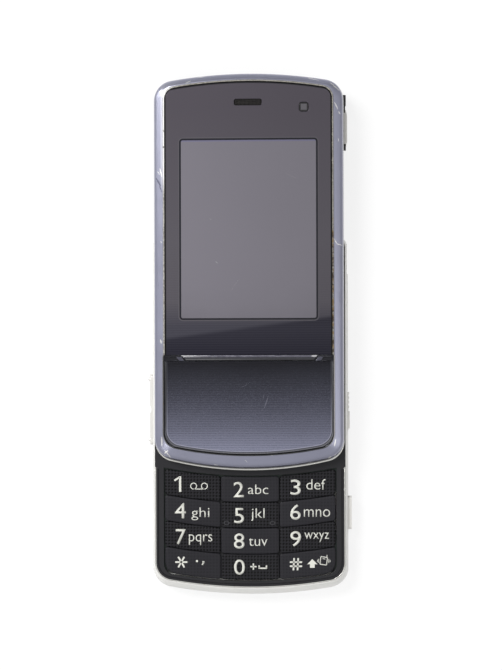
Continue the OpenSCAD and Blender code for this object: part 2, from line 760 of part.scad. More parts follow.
// Meandering antenna strip in the tub's upper end.
module antenna() {
    color(gold) slab(board_z - 0.9, board_z - 0.02) translate([antenna_x, antenna_y]) difference() {
        square([antenna_w, antenna_h], center = true);
        for (i = [-2:2]) translate([i * antenna_w / 6, (i % 2 == 0 ? 1 : -1) * antenna_h / 4])
            square([1.4, 0.8 * antenna_h], center = true);
    }
}

module loudspeaker() {
    color("#3c3c40") difference() {
        slab(cover_t + 0.65, board_z - 0.1) translate([0, speaker_y]) rounded(speaker_w, speaker_h, 2.8);
        slab(cover_t + 0.6, cover_t + 0.9) translate([0, speaker_y])
            rounded(speaker_w - 3.2, speaker_h - 3, 2);
    }
}

module speaker_mesh() {
    color("#1c1c1e") slab(cover_t + 0.08, cover_t + 0.33) translate([0, speaker_y])
        rounded(mesh_w, mesh_h, 1.7);
}

module microphone() {
    color(steel) rod(mic_x, mic_y, board_z - 1.02, board_z - 0.02, mic_r);
}

module screw(x, y, z0, z1, head_z, head_r, r) {
    difference() {
        union() {
            rod(x, y, z0, z1, r);
            rod(x, y, min(head_z, z0), max(head_z, z0), head_r);
        }
        box([x - 0.2, x + 0.2], [y - 0.7, y + 0.7], [z0 - 1.2, min(head_z, z0) + 0.25]);
        box([x - 0.7, x + 0.7], [y - 0.2, y + 0.2], [z0 - 1.2, min(head_z, z0) + 0.25]);
    }
}

// Screws that hold tub, board and deck together, under the battery cover.
module housing_screws() {
    color(steel) for (s = screw_spots)
        screw(s[0], s[1], cover_t + 0.5, base_t - 0.35, cover_t + 1.25, screw_r + 0.6, screw_r - 0.15);
}

// ---- Side keys and connector --------------------------------------------------------------------

// Key cap lying in a side slot, from x = in to x = out measured from the side face.
module side_cap(side, y, length, in, out) {
    translate([side * (base_w / 2 + out), y, side_key_z]) rotate([0, -90 * side, 0])
        linear_extrude(in + out) rounded(side_key_h, length, 0.7);
}

module camera_key() {
    color(silver) {
        side_cap(1, cam_key_y, cam_key_len, 2.6, cam_key_out);
        // flange that keeps the key in its slot
        flange = cam_key_len / 2 + 0.6;
        box([base_w / 2 - 2.8, base_w / 2 - 2], [cam_key_y - flange, cam_key_y + flange],
            [side_key_z0, side_key_z1]);
    }
}

module volume_rocker() {
    x = -base_w / 2;
    color(silver) difference() {
        union() {
            side_cap(-1, rocker_y, rocker_len, 2, rocker_out);
            for (s = [-1, 1]) translate([x - rocker_out, rocker_y + s * (rocker_len / 2 - 1.3), side_key_z])
                sphere(0.54);
        }
        rod(x + pin_in, rocker_y, side_key_z - 3, side_key_z + 3, pin_r + 0.03);
        // waist between the two lobes
        rod(x - rocker_out - 1.6, rocker_y, side_key_z - 3, side_key_z + 3, 1.9);
    }
}

module rocker_pin() {
    color(steel) rod(-base_w / 2 + pin_in, rocker_y, side_key_z0 - 0.45, side_key_z1 + 0.45, pin_r - 0.01);
}

function side_switch_spots() =
    [[1, cam_key_y], [-1, rocker_y - rocker_len / 3], [-1, rocker_y + rocker_len / 3]];

// Side-acting switches on the board's edge, behind the side keys.
module side_switches() {
    color("#2f3033") for (s = side_switch_spots()) {
        mirror([s[0] < 0 ? 1 : 0, 0, 0]) {
            box([base_w / 2 - 4.4, base_w / 2 - 3.25], [s[1] - 1.7, s[1] + 1.7],
                [side_key_z - 0.9, board_z + board_t]);
            translate([base_w / 2 - 3.5, s[1], side_key_z]) rotate([0, 90, 0])
                cylinder(h = s[0] < 0 ? 1.15 : 0.7 - cam_key_travel - fit, r = 0.5);
        }
    }
}

module port_cover() {
    y0 = port_y - port_len / 2;
    x = base_w / 2;
    color("#cfcfca") difference() {
        union() {
            box([x - port_t, x + 0.05], [y0, port_pin_y - 1.05], [port_z0, port_z1]);
            // knuckle round the hinge pin, and the web that joins it
            rod(port_pin_x, port_pin_y, side_key_z - 0.7, side_key_z + 0.7, port_knuckle_r);
            box([x - port_t, port_pin_x + 0.4], [port_pin_y - 1.2, port_pin_y],
                [side_key_z - 0.7, side_key_z + 0.7]);
            // nail grip
            box([x - 0.5, x + 0.35], [y0 + 0.4, y0 + 4.8], [port_z0 + 0.5, port_z1 - 0.5]);
            // grip ribs
            for (i = [0:3]) box([x - 0.2, x + 0.22], [y0 + 5.6 + 1.15 * i, y0 + 6.2 + 1.15 * i],
                [port_z0 + 0.3, port_z1 - 0.3]);
        }
        rod(port_pin_x, port_pin_y, side_key_z - 3, side_key_z + 3, port_pin_r + 0.03);
    }
}

module port_hinge_pin() {
    color(steel) rod(port_pin_x, port_pin_y, port_z0 + 0.3, port_z1 - 0.3, port_pin_r - 0.01);
}

// Charging and data connector: a metal shell with a contact tongue.
module port_connector() {
    y = port_y - 0.3;
    half = port_shell_w / 2;
    bore = half - port_shell_t;
    color(steel) difference() {
        box([port_x0, port_x1], [y - half, y + half], [side_key_z - 1.1, board_z - 0.02]);
        box([port_x0 + 0.4, port_x1 + 1], [y - bore, y + bore], [side_key_z - 0.85, board_z - port_shell_t]);
    }
    color(black) box([port_x0 + 0.3, port_x1 - 0.6], [y - bore + 0.5, y + bore - 0.5],
        [side_key_z - 0.25, side_key_z + 0.15]);
}

// ---- Slide mechanism ----------------------------------------------------------------------------

// Where the slide spring's two ends are riveted, with the phone open.
rivet_low = [-13.2, (plate_y0 + plate_y1) / 2];
rivet_high = [1.2, rivet_low[1] + slide_travel / 2];
rivet_r = 0.8;

// Steel plate screwed to the deck. Its edges run in the guide rails.
module fixed_slide_plate() {
    color(steel) {
        difference() {
            slab(plate_z, plate_z + plate_t) translate([0, (plate_y0 + plate_y1) / 2])
                rounded(plate_w, plate_len, 1);
            for (b = boss_spots) rod(b[0], b[1], plate_z - 1, plate_z + 1, 0.7);
            for (b = boss_spots) rod(b[0], b[1], plate_z + plate_t - 0.2, plate_z + 1, 1.35);
            // window for the flexible circuit, and two lightening windows
            slab(plate_z - 1, plate_z + 1) translate([flex_x, flex_low_y + 0.6]) rounded(flex_w + 1, 3, 0.6);
            for (y = [plate_y0 + 4, plate_y1 - 6]) slab(plate_z - 1, plate_z + 1) translate([-1, y])
                rounded(9, 5, 1);
        }
        rod(rivet_low[0], rivet_low[1], plate_z + plate_t - eps, pan_z - 0.08, rivet_r);
    }
}

module slide_plate_screws() {
    color(steel) for (b = boss_spots) {
        rod(b[0], b[1], base_t - 0.5, plate_z + plate_t - 0.15, 0.58);
        rod(b[0], b[1], plate_z + plate_t - 0.19, plate_z + plate_t - 0.02, 1.3);
    }
}

// Torsion spring of the half-automatic slide. Its apex coil lies between the two rivets.
spring_r = 2;
spring_leg = 13;
spring_mid = (rivet_low + rivet_high) / 2;
spring_span = norm(rivet_high - rivet_low);
spring_turn = atan2(rivet_high[1] - rivet_low[1], rivet_high[0] - rivet_low[0]);
spring_rise = sqrt(spring_leg * spring_leg - spring_span * spring_span / 4);
spring_z = (plate_z + plate_t + pan_z) / 2;

module slide_spring() {
    color("#b9bdc1") translate([spring_mid[0], spring_mid[1], spring_z]) rotate([0, 0, spring_turn]) {
        // apex coil, open between the two legs
        translate([0, -spring_rise, 0]) rotate_extrude(angle = 260, start = 140)
            translate([spring_r, 0]) circle(spring_wire / 2, $fn = 16);
        for (side = [-1, 1]) {
            tip = [side * (spring_span / 2 - rivet_r - spring_wire / 2 - 0.1), 0];
            foot = [side * spring_r * cos(40), -spring_rise + spring_r * sin(40)];
            translate([tip[0], tip[1], 0]) rotate([0, 0, atan2(foot[1] - tip[1], foot[0] - tip[0])])
                rotate([0, 90, 0]) cylinder(h = norm(foot - tip), r = spring_wire / 2, $fn = 16);
            // eye that loops round a rivet
            translate([side * spring_span / 2, 0, 0]) rotate_extrude()
                translate([rivet_r + 0.1 + spring_wire / 2, 0]) circle(spring_wire / 2, $fn = 16);
        }
    }
}

// Flexible circuit between the halves. It comes up through the fixed plate, runs towards the
// earpiece, turns back in a small bend and goes up through the pan.
flex_t = 0.12;
flex_low = plate_z + plate_t + 0.08;
flex_high = pan_z - 0.08;
flex_bend = (flex_high - flex_low) / 2;

module flex_cable() {
    color("#c8862c") translate([flex_x - flex_w / 2 + 0.4, 0, 0]) rotate([90, 0, 90])
        linear_extrude(flex_w - 0.8) {
            translate([flex_low_y, board_z + board_t + 0.02]) square([flex_t, flex_low - board_z - board_t]);
            translate([flex_low_y, flex_low]) square([flex_bend_y - flex_low_y, flex_t]);
            translate([flex_high_y, flex_high - flex_t]) square([flex_bend_y - flex_high_y, flex_t]);
            translate([flex_high_y, flex_high - flex_t]) square([flex_t, inner_z - flex_high + flex_t]);
            translate([flex_bend_y, flex_low + flex_bend]) difference() {
                circle(flex_bend);
                circle(flex_bend - flex_t);
                translate([-2 * flex_bend, -flex_bend]) square(2 * flex_bend);
            }
        }
}

// Two moulded rails, open towards the middle, that hold the fixed plate's edges.
module guide_rails() {
    color("#ecebe4") for (side = [-1, 1]) difference() {
        box([min(side * (rail_x - rail_w), side * rail_x), max(side * (rail_x - rail_w), side * rail_x)],
            [track_y0 + fit, track_y1 - fit], [slider_z0 + fit, pan_z - 0.01]);
        box([min(0, side * (plate_w / 2 + 0.12)), max(0, side * (plate_w / 2 + 0.12))],
            [track_y0 - 1, track_y1 + 1], [plate_z - rail_clear, plate_z + plate_t + rail_clear]);
    }
}

// Steel pan of the upper half. It roofs the track and carries the rails.
module slider_pan() {
    color(steel) {
        difference() {
            slab(pan_z, inner_z) translate([0, (track_y0 + track_y1) / 2])
                rounded(track_w + 3.2, track_y1 - track_y0 + 3.2, 2);
            slab(pan_z - 1, inner_z + 1) translate([flex_x, flex_high_y]) rounded(flex_w + 0.4, 1.4, 0.5);
        }
        rod(rivet_high[0], rivet_high[1], plate_z + plate_t + 0.08, pan_z + eps, rivet_r);
    }
}

// ---- Upper half ---------------------------------------------------------------------------------

module slider_outline(inset = 0) {
    arched(slider_w - 2 * inset, slider_y0 + inset, slider_y1 - inset, slider_corner - inset,
        slider_corner - inset, chin_r - inset, end_r - inset);
}

// The hump behind the upper half's top edge. Its lower edge follows the lower half's arc.
hump_levels = [[0, 1.3], [0.22, 0.75], [0.55, 0.38], [1, 0.12], [1.6, 0], [slider_z0 - hump_lift + 0.1, 0]];

module slider_rear_case() {
    color(black) difference() {
        union() {
            slab(slider_z0, pan_z) slider_outline(0.15);
            slab(slider_z0 + 0.3, bezel_z - trim_h) slider_outline(0.02);
            hump_body();
            strap_arm();
        }
        // track for the slide mechanism
        slab(slider_z0 - 1, pan_z + 1) translate([0, (track_y0 + track_y1) / 2])
            rounded(track_w, track_y1 - track_y0, 0.15);
        // seat inside the bezel
        slab(bezel_z - trim_h, pan_z + 1) difference() {
            slider_outline(-1);
            slider_outline(slider_wall + fit);
        }
        // room for the camera, and its window's seat
        box([camera_x - 4, camera_x + 4], [camera_y - 2.7, camera_y + 2.7],
            [hump_lift + hump_wall + 0.4, pan_z + 1]);
        rod(camera_x, camera_y, hump_lift - 1, hump_lift + hump_wall + 1, lens_r - 0.5);
        rod(camera_x, camera_y, hump_lift - 1, hump_lift + 0.55, lens_r + 0.02);
        // gap behind the strap bar, for the cord, and the seats of the bar's ends
        box([arm_x0 + 0.75, arm_x1 + 1], [arm_y0 + arm_lug, arm_y1 - arm_lug], [0, slider_z0]);
        bar_space(0.02);
        for (s = slider_screw_spots) rod(s[0], s[1], slider_z0 - 1, pan_z + 1, 0.75);
        for (s = slider_screw_spots) rod(s[0], s[1], slider_z0 - 1, slider_z0 + 0.7, 1.4);
    }
}

slider_screw_x = slider_w / 2 - 4.1;
slider_screw_y = [slider_y0 + 6, track_y1 + 3.4];
slider_screw_spots = [for (x = [-1, 1]) for (y = slider_screw_y) [x * slider_screw_x, y]];

// Solid hump with a rounded back edge.
module hump_body() {
    loft([for (v = hump_levels) hump_ring(v[1], hump_lift + v[0])]);
}

function hump_ring(inset, z) =
    let (pts = arched_points(hump_w - 2 * inset, hump_y0 - 6, slider_y1 - hump_inset - inset,
        0.8, slider_corner - hump_inset - inset, end_r, end_r))
    [for (p = pts) [p[0], max(p[1], hump_y0 - arc_rise(p[0], end_r) + inset * 0.8), z]];

// Arm with two lugs, which the lower half's relief takes in when the phone is closed.
module strap_arm() {
    box([arm_x0, arm_x1 - 0.5], [arm_y0 + 0.4, arm_y1 + 0.6], [arm_z0, arm_z1]);
    box([arm_x0, arm_x1 - 0.35], [arm_y0, arm_y0 + arm_lug], [arm_z0, arm_z1]);
    box([hump_w / 2 - arm_root, arm_x1 - 0.35], [hump_y0, hump_y0 + arm_root], [arm_z0, arm_z1]);
}

module bar_space(grow) {
    box([arm_x1 - bar_t - grow, arm_x1 + 1 + grow],
        [arm_y0 + arm_lug - lug_seat - grow, arm_y1 - arm_lug + lug_seat + grow],
        [arm_z0 + bar_in - grow, arm_z1 - bar_in + grow]);
}

// Silver bar that a wrist strap loops round.
module strap_bar() {
    y0 = arm_y0 + arm_lug - lug_seat;
    y1 = arm_y1 - arm_lug + lug_seat;
    color(silver) slab(arm_z0 + bar_in, arm_z1 - bar_in) polygon([[arm_x1 - bar_t, y0], [arm_x1 - bar_t, y1],
        [arm_x1 - 0.3, y1], [arm_x1, y1 - 1.4], [arm_x1, y0 + 1.4], [arm_x1 - 0.3, y0]]);
}

// Thin bright ring between the rear case and the rim.
module slider_trim() {
    color("#cfcabd") slab(bezel_z - trim_h + 0.02, bezel_z - 0.02) difference() {
        arched(slider_w + 0.1, slider_y0 - 0.3, slider_y1 + 0.1, slider_corner, slider_corner, chin_r,
            end_r);
        slider_outline(slider_wall - 0.6);
    }
}

// Metallic rim: a rounded band round the glass and the touch plate.
bezel_levels = [
    [0, 0.12, 0.12, 0.1], [0.3, 0, 0, 0], [1.5, 0, 0.05, 0], [2.5, 0.16, 0.3, 0.13], [3.2, 0.52, 0.85, 0.4],
    [3.7, 1.05, 1.6, 0.8], [slider_t - 1.1, 1.75, 2.5, 1.35]
];

module slider_bezel() {
    color(lavender) difference() {
        translate([0, 0, bezel_z]) loft(shell_rings(bezel_levels, slider_w, slider_y0, slider_y1,
            slider_corner, slider_corner, chin_r, end_r));
        // hollow behind the front
        slab(bezel_z - 1, touch_z - shelf_t) slider_outline(slider_wall);
        slab(bezel_z, glass_z - shelf_t) intersection() {
            slider_outline(slider_wall);
            translate([-slider_w, glass_y0 + 1]) square([2 * slider_w, slider_len]);
        }
        // seat of the glass, and the hole it closes
        slab(glass_z, slider_z1 + 1) glass_outline(-0.15);
        slab(bezel_z, slider_z1 + 1) translate([0, (glass_y0 + 2 + glass_y1 - 1) / 2])
            rounded(screen_w + 2.4, glass_y1 - glass_y0 - 6.5, 2);
        // seat of the touch plate, and the hole below it
        slab(touch_z - fit, slider_z1 + 1) touch_outline(-0.15);
        slab(bezel_z, slider_z1 + 1) translate([0, (touch_y0 + touch_y1) / 2])
            rounded(touch_w - 2.4, touch_y1 - touch_y0 - 7, 2);
        // opening for the front camera
        rod(front_cam_x, front_cam_y, bezel_z, slider_z1, 1.6);
    }
    // screw bosses behind the front
    color(lavender) for (s = slider_screw_spots) difference() {
        rod(s[0], s[1], pan_z + 0.05, (s[1] < glass_y0 ? touch_z : glass_z) - shelf_t + 0.1, 1.5);
        rod(s[0], s[1], pan_z, pan_z + 1.2, 0.7);
    }
}

front_cam_x = slider_w / 2 - 9.9;
front_cam_y = slider_y1 - 8.7;

module glass_outline(inset = 0) {
    intersection() {
        arched(glass_w - 2 * inset, slider_y0, glass_y1 - inset, 2, glass_corner - inset, chin_r,
            end_r - rim_top);
        translate([-slider_w, glass_y0 + inset]) square([2 * slider_w, slider_len]);
    }
}

module touch_outline(inset = 0) {
    intersection() {
        arched(touch_w - 2 * inset, touch_y0 + inset, slider_y1, 3.6 - inset, 2, chin_r + 8, end_r);
        translate([-slider_w, slider_y0]) square([2 * slider_w, glass_y0 - slider_y0 - fit]);
    }
}

module ear_slot(grow = 0) {
    translate([0, slider_y1 - ear_slot_low])
        rounded(ear_slot_w + 2 * grow, ear_slot_h + 2 * grow, 0.5 + grow);
}

module screen_glass() {
    color(smoke) difference() {
        slab(glass_z + 0.01, slider_z1 - 0.05) glass_outline();
        slab(glass_z - 1, slider_z1 + 1) ear_slot();
        slab(glass_z - 1, slider_z1 + 1) translate([front_cam_x, front_cam_y]) rounded(2.4, 2.4, 0.7);
    }
}

module earpiece_mesh() {
    color("#1a1a1c") slab(glass_z + 0.2, slider_z1 - 0.35) ear_slot(-fit);
}

module front_lens() {
    color("#3b3a42") slab(glass_z + 0.1, slider_z1 - 0.15) translate([front_cam_x, front_cam_y])
        rounded(2.3, 2.3, 0.65);
}

module front_camera() {
    color(black) {
        rod(front_cam_x, front_cam_y, inner_z + 0.1, glass_z - 0.1, 1.5);
        box([front_cam_x - 2, front_cam_x + 2], [front_cam_y - 2, front_cam_y + 2],
            [inner_z + 0.1, glass_z - shelf_t - 0.1]);
    }
}

module earpiece() {
    color("#2a2a2d") slab(inner_z + 0.1, glass_z - shelf_t - 0.05)
        translate([0, slider_y1 - ear_slot_low + 0.2]) rounded(11, 5.4, 2.6);
}

// Screen module: a metal frame with the panel in it.
module lcd_module() {
    z0 = inner_z + 0.1;
    z1 = glass_z - shelf_t - 0.05;
    color("#77757c") {
        difference() {
            box([-screen_w / 2 - 2.4, screen_w / 2 + 2.4], [screen_y0 - 4.6, screen_y1 + 1.8], [z0, z1]);
            box([-screen_w / 2 - 0.4, screen_w / 2 + 0.4], [screen_y0 - 0.4, screen_y1 + 0.4],
                [z1 - 0.5, z1 + 1]);
        }
        box([-screen_w / 2 - 0.3, screen_w / 2 + 0.3], [screen_y0 - 0.3, screen_y1 + 0.3],
            [z1 - 0.5 - eps, z1 - 0.05]);
    }
}

// Touch plate: hairlined metal with a shallow scoop for the thumb.
scoop_r = 150;
module touch_plate() {
    color("#4a4b57") difference() {
        slab(touch_z, touch_z + touch_t) intersection() {
            touch_outline();
            translate([-slider_w, slider_y0]) square([2 * slider_w, touch_y1 - slider_y0]);
        }
        translate([-slider_w, (touch_y0 + 2 * touch_y1) / 3, touch_z + touch_t + scoop_r - 0.32])
            rotate([0, 90, 0]) cylinder(h = 2 * slider_w, r = scoop_r, $fn = 360);
    }
}

// Sloping step between the glass and the touch plate.
module touch_ledge() {
    top = slider_z1 - 0.08;
    low = slider_z1 - ledge_drop;
    slope = ledge_h - 0.35;
    shoulder = ledge_w / 2 - eps;
    color("#8a8a96") difference() {
        slab(touch_z, top) intersection() {
            touch_outline(0.05);
            translate([-slider_w, touch_y1 + fit]) square([2 * slider_w, ledge_h]);
        }
        // slope of the middle
        translate([0, touch_y1 + fit, 0]) rotate([90, 0, 90]) translate([0, 0, -ledge_w / 2])
            linear_extrude(ledge_w)
                polygon([[-1, low - 0.1], [0, low - 0.1], [slope, top], [slope, top + 1], [-1, top + 1]]);
        // lower shoulders at both ends
        for (side = [0, 1]) mirror([side, 0, 0])
            box([shoulder, slider_w], [touch_y1 - 1, glass_y0 - 0.45], [low + 0.15, top + 1]);
    }
}

module touch_board() {
    color(green) slab(inner_z + 0.1, inner_z + 0.6) translate([0, (touch_y0 + touch_y1) / 2 + 1])
        rounded(touch_w - 7, touch_y1 - touch_y0 - 7, 2);
}

// ---- Rear camera, motor and screws -----------------------------------------------------------------

module camera_window() {
    color("#26262c") rod(camera_x, camera_y, hump_lift + 0.05, hump_lift + 0.54, lens_r);
}

module camera_module() {
    color("#303034") {
        box([camera_x - 3.8, camera_x + 3.8], [camera_y - 2.5, camera_y + 2.5],
            [hump_lift + 2.2, bezel_z - trim_h - 0.1]);
        rod(camera_x, camera_y, hump_lift + hump_wall + 0.5, hump_lift + 2.2 + eps, 2.3);
    }
}

motor_r = 0.9;
motor_len = 5.6;
motor_x = -slider_w / 2 + 9.4;
motor_y = slider_y1 - 8.3;
motor_z = inner_z + 0.12 + motor_r;
weight_len = 2;
weight_x = motor_x - weight_len - 0.2;
module motor_body() {
    color(steel) translate([motor_x, motor_y, motor_z]) rotate([0, 90, 0]) difference() {
        cylinder(h = motor_len, r = motor_r);
        translate([0, 0, -eps]) cylinder(h = 1.2, r = 0.24);
    }
}

// Half-round weight that shakes the phone as it spins.
module motor_weight() {
    color("#8c8276") {
        translate([weight_x, motor_y, motor_z]) rotate([0, 90, 0]) difference() {
            cylinder(h = weight_len, r = motor_r);
            translate([-0.02, -2, -1]) cube([2, 4, 4]);
        }
        translate([weight_x, motor_y, motor_z]) rotate([0, 90, 0]) cylinder(h = weight_len + 1.3, r = 0.2);
    }
}

module slider_screws() {
    color(steel) for (s = slider_screw_spots)
        screw(s[0], s[1], slider_z0 + 0.15, pan_z + 1.1, slider_z0 + 0.65, 1.3, 0.65);
}

rear_housing();
front_deck();
keypad_trim();
battery_cover();
battery();
battery_contacts();
main_board();
dome_sheet();
key_mat();
shield_can();
card_holder();
antenna();
loudspeaker();
speaker_mesh();
microphone();
housing_screws();
key(3, -1);  // key_1
key(3, 0);  // key_2
key(3, 1);  // key_3
key(2, -1);  // key_4
key(2, 0);  // key_5
key(2, 1);  // key_6
key(1, -1);  // key_7
key(1, 0);  // key_8
key(1, 1);  // key_9
key(0, -1);  // key_star
key(0, 0);  // key_0
key(0, 1);  // key_hash
camera_key();
volume_rocker();
rocker_pin();
side_switches();
port_cover();
port_hinge_pin();
port_connector();
fixed_slide_plate();
slide_plate_screws();
slide_spring();
flex_cable();
guide_rails();
slider_pan();
slider_rear_case();
slider_trim();
slider_bezel();
screen_glass();
lcd_module();
touch_plate();
touch_ledge();
touch_board();
earpiece_mesh();
earpiece();
front_lens();
front_camera();
camera_window();
camera_module();
strap_bar();
motor_body();
motor_weight();
slider_screws();
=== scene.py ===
"""Dresses the slide phone: finished surfaces over its solids, a plain stage and a camera."""

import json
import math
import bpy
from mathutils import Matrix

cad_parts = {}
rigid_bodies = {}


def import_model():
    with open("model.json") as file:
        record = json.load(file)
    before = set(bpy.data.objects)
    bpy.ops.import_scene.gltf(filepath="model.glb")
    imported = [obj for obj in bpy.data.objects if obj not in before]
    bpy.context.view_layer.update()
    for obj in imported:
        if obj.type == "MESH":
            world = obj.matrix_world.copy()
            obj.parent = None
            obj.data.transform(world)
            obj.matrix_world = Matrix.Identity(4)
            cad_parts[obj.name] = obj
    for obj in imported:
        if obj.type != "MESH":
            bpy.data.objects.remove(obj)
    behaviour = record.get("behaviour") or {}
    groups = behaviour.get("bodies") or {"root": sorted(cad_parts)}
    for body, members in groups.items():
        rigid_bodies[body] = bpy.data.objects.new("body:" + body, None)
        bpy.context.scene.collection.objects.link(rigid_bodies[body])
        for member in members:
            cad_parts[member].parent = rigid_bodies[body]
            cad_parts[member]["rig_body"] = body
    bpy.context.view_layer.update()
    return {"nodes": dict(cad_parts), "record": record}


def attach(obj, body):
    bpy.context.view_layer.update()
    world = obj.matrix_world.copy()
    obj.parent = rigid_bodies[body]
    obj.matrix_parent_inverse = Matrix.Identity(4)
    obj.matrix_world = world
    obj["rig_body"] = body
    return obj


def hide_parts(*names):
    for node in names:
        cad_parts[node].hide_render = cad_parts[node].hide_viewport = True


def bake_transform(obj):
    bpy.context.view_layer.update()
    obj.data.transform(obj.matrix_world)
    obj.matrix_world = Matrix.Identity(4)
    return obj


bl_info = {
    "name": "Slide phone",
    "version": (1, 0, 0),
    "blender": (4, 5, 0),
    "location": "3D View > Sidebar > Phone",
    "description": "Finished surfaces of a slide phone with its upper half slid open",
    "category": "Object",
}

import bmesh
import bpy
from bpy.props import FloatProperty, FloatVectorProperty, IntProperty, PointerProperty
from bpy.types import Operator, Panel, PropertyGroup
from mathutils import Matrix, Vector

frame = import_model()

MM = 0.001
KEYS = ("1", "2", "3", "4", "5", "6", "7", "8", "9", "star", "0", "hash")
PITTED_KEYS = ("1", "3", "5", "7", "9", "0")


def length(name, description, default):
    return FloatProperty(name=name, description=description, default=default, unit="LENGTH", precision=5)


def colour(name, description, default):
    return FloatVectorProperty(
        name=name, description=description, default=default, size=3, subtype="COLOR", min=0, max=1
    )


class PhoneSizes(PropertyGroup):
    """Sizes of the fine detail that the solids leave out."""

    hairline_pitch: length("Hairline pitch", "Distance between the lines of the touch plate", 0.0006)
    pit_pitch: length("Pit pitch", "Distance between the pits of a pitted key", 0.00081)
    digit_height: length("Digit height", "Height of the digits on the keys", 0.0039)
    ink: length("Ink", "Thickness of the printed legends", 0.00002)
    edge: length("Edge radius", "Rounding of the moulded edges", 0.00008)
    glass_edge: length("Glass edge", "Ground edge of the screen glass", 0.00016)
    rim_rings: IntProperty(name="Rim rings", description="Rings along the rim's section", default=26, min=8)


class PhoneColours(PropertyGroup):
    """Colours of the visible parts, linear."""

    silver: colour("Silver", "Painted shell of the lower half", (0.66, 0.655, 0.635))
    black: colour("Black", "Black shell round the keypad and behind the screen", (0.0185, 0.0183, 0.0205))
    key: colour("Key", "Key caps", (0.015, 0.0146, 0.0172))
    legend: colour("Legend", "Printed digits and letters", (0.57, 0.57, 0.52))
    rim: colour("Rim", "Metallic rim of the upper half", (0.248, 0.252, 0.325))
    chrome: colour("Chrome", "Bright trim lines", (0.86, 0.85, 0.81))
    glass: colour("Glass", "Smoked glass above the screen", (0.0593, 0.0526, 0.0646))
    # the lower glass colour is the smoked glass under a painted dark reflection
    glass_low: colour("Lower glass", "Smoked glass below the screen", (0.0052, 0.0045, 0.012))
    screen: colour("Screen", "Unlit screen under the glass", (0.1448, 0.1368, 0.1592))
    # the touch plate's two ends are the ends of a painted reflection over its dark metal
    plate_top: colour("Touch plate, upper end", "Touch plate next to the glass", (0.0095, 0.0094, 0.0125))
    plate_low: colour("Touch plate, lower end", "Touch plate at its lower edge", (0.172, 0.177, 0.24))


def sizes():
    return bpy.context.scene.phone_sizes


def colours():
    return bpy.context.scene.phone_colours


# ---- Node graphs ------------------------------------------------------------------------------


class Wire:
    """A value that runs between nodes. Arithmetic on it adds the nodes that work it out."""

    def __init__(self, graph, socket):
        self.graph, self.socket = graph, socket

    def __add__(self, other):
        return self.graph.maths("ADD", self, other)

    def __sub__(self, other):
        return self.graph.maths("SUBTRACT", self, other)

    def __rsub__(self, other):
        return self.graph.maths("SUBTRACT", other, self)

    def __mul__(self, other):
        if isinstance(other, tuple):
            return self.graph.vector("MULTIPLY", self, other)
        return self.graph.maths("MULTIPLY", self, other)

    def __truediv__(self, other):
        return self.graph.maths("DIVIDE", self, other)

    def __rtruediv__(self, other):
        return self.graph.maths("DIVIDE", other, self)

    def __abs__(self):
        return self.graph.maths("ABSOLUTE", self)

    def step(self, low, high):
        """0 below low and 1 above high, smooth between; low may be above high."""
        given = {"Value": self, "From Min": low, "From Max": high}
        return self.graph.value("ShaderNodeMapRange", given, interpolation_type="SMOOTHSTEP")

    def mix(self, low, high):
        """The first colour at 0 and the second at 1."""
        return self.graph.value("ShaderNodeMix", {0: self, 6: low, 7: high}, 2, data_type="RGBA")

    def between(self, low, high):
        """A value in 0..1 turned into one between low and high."""
        return self * (high - low) + low


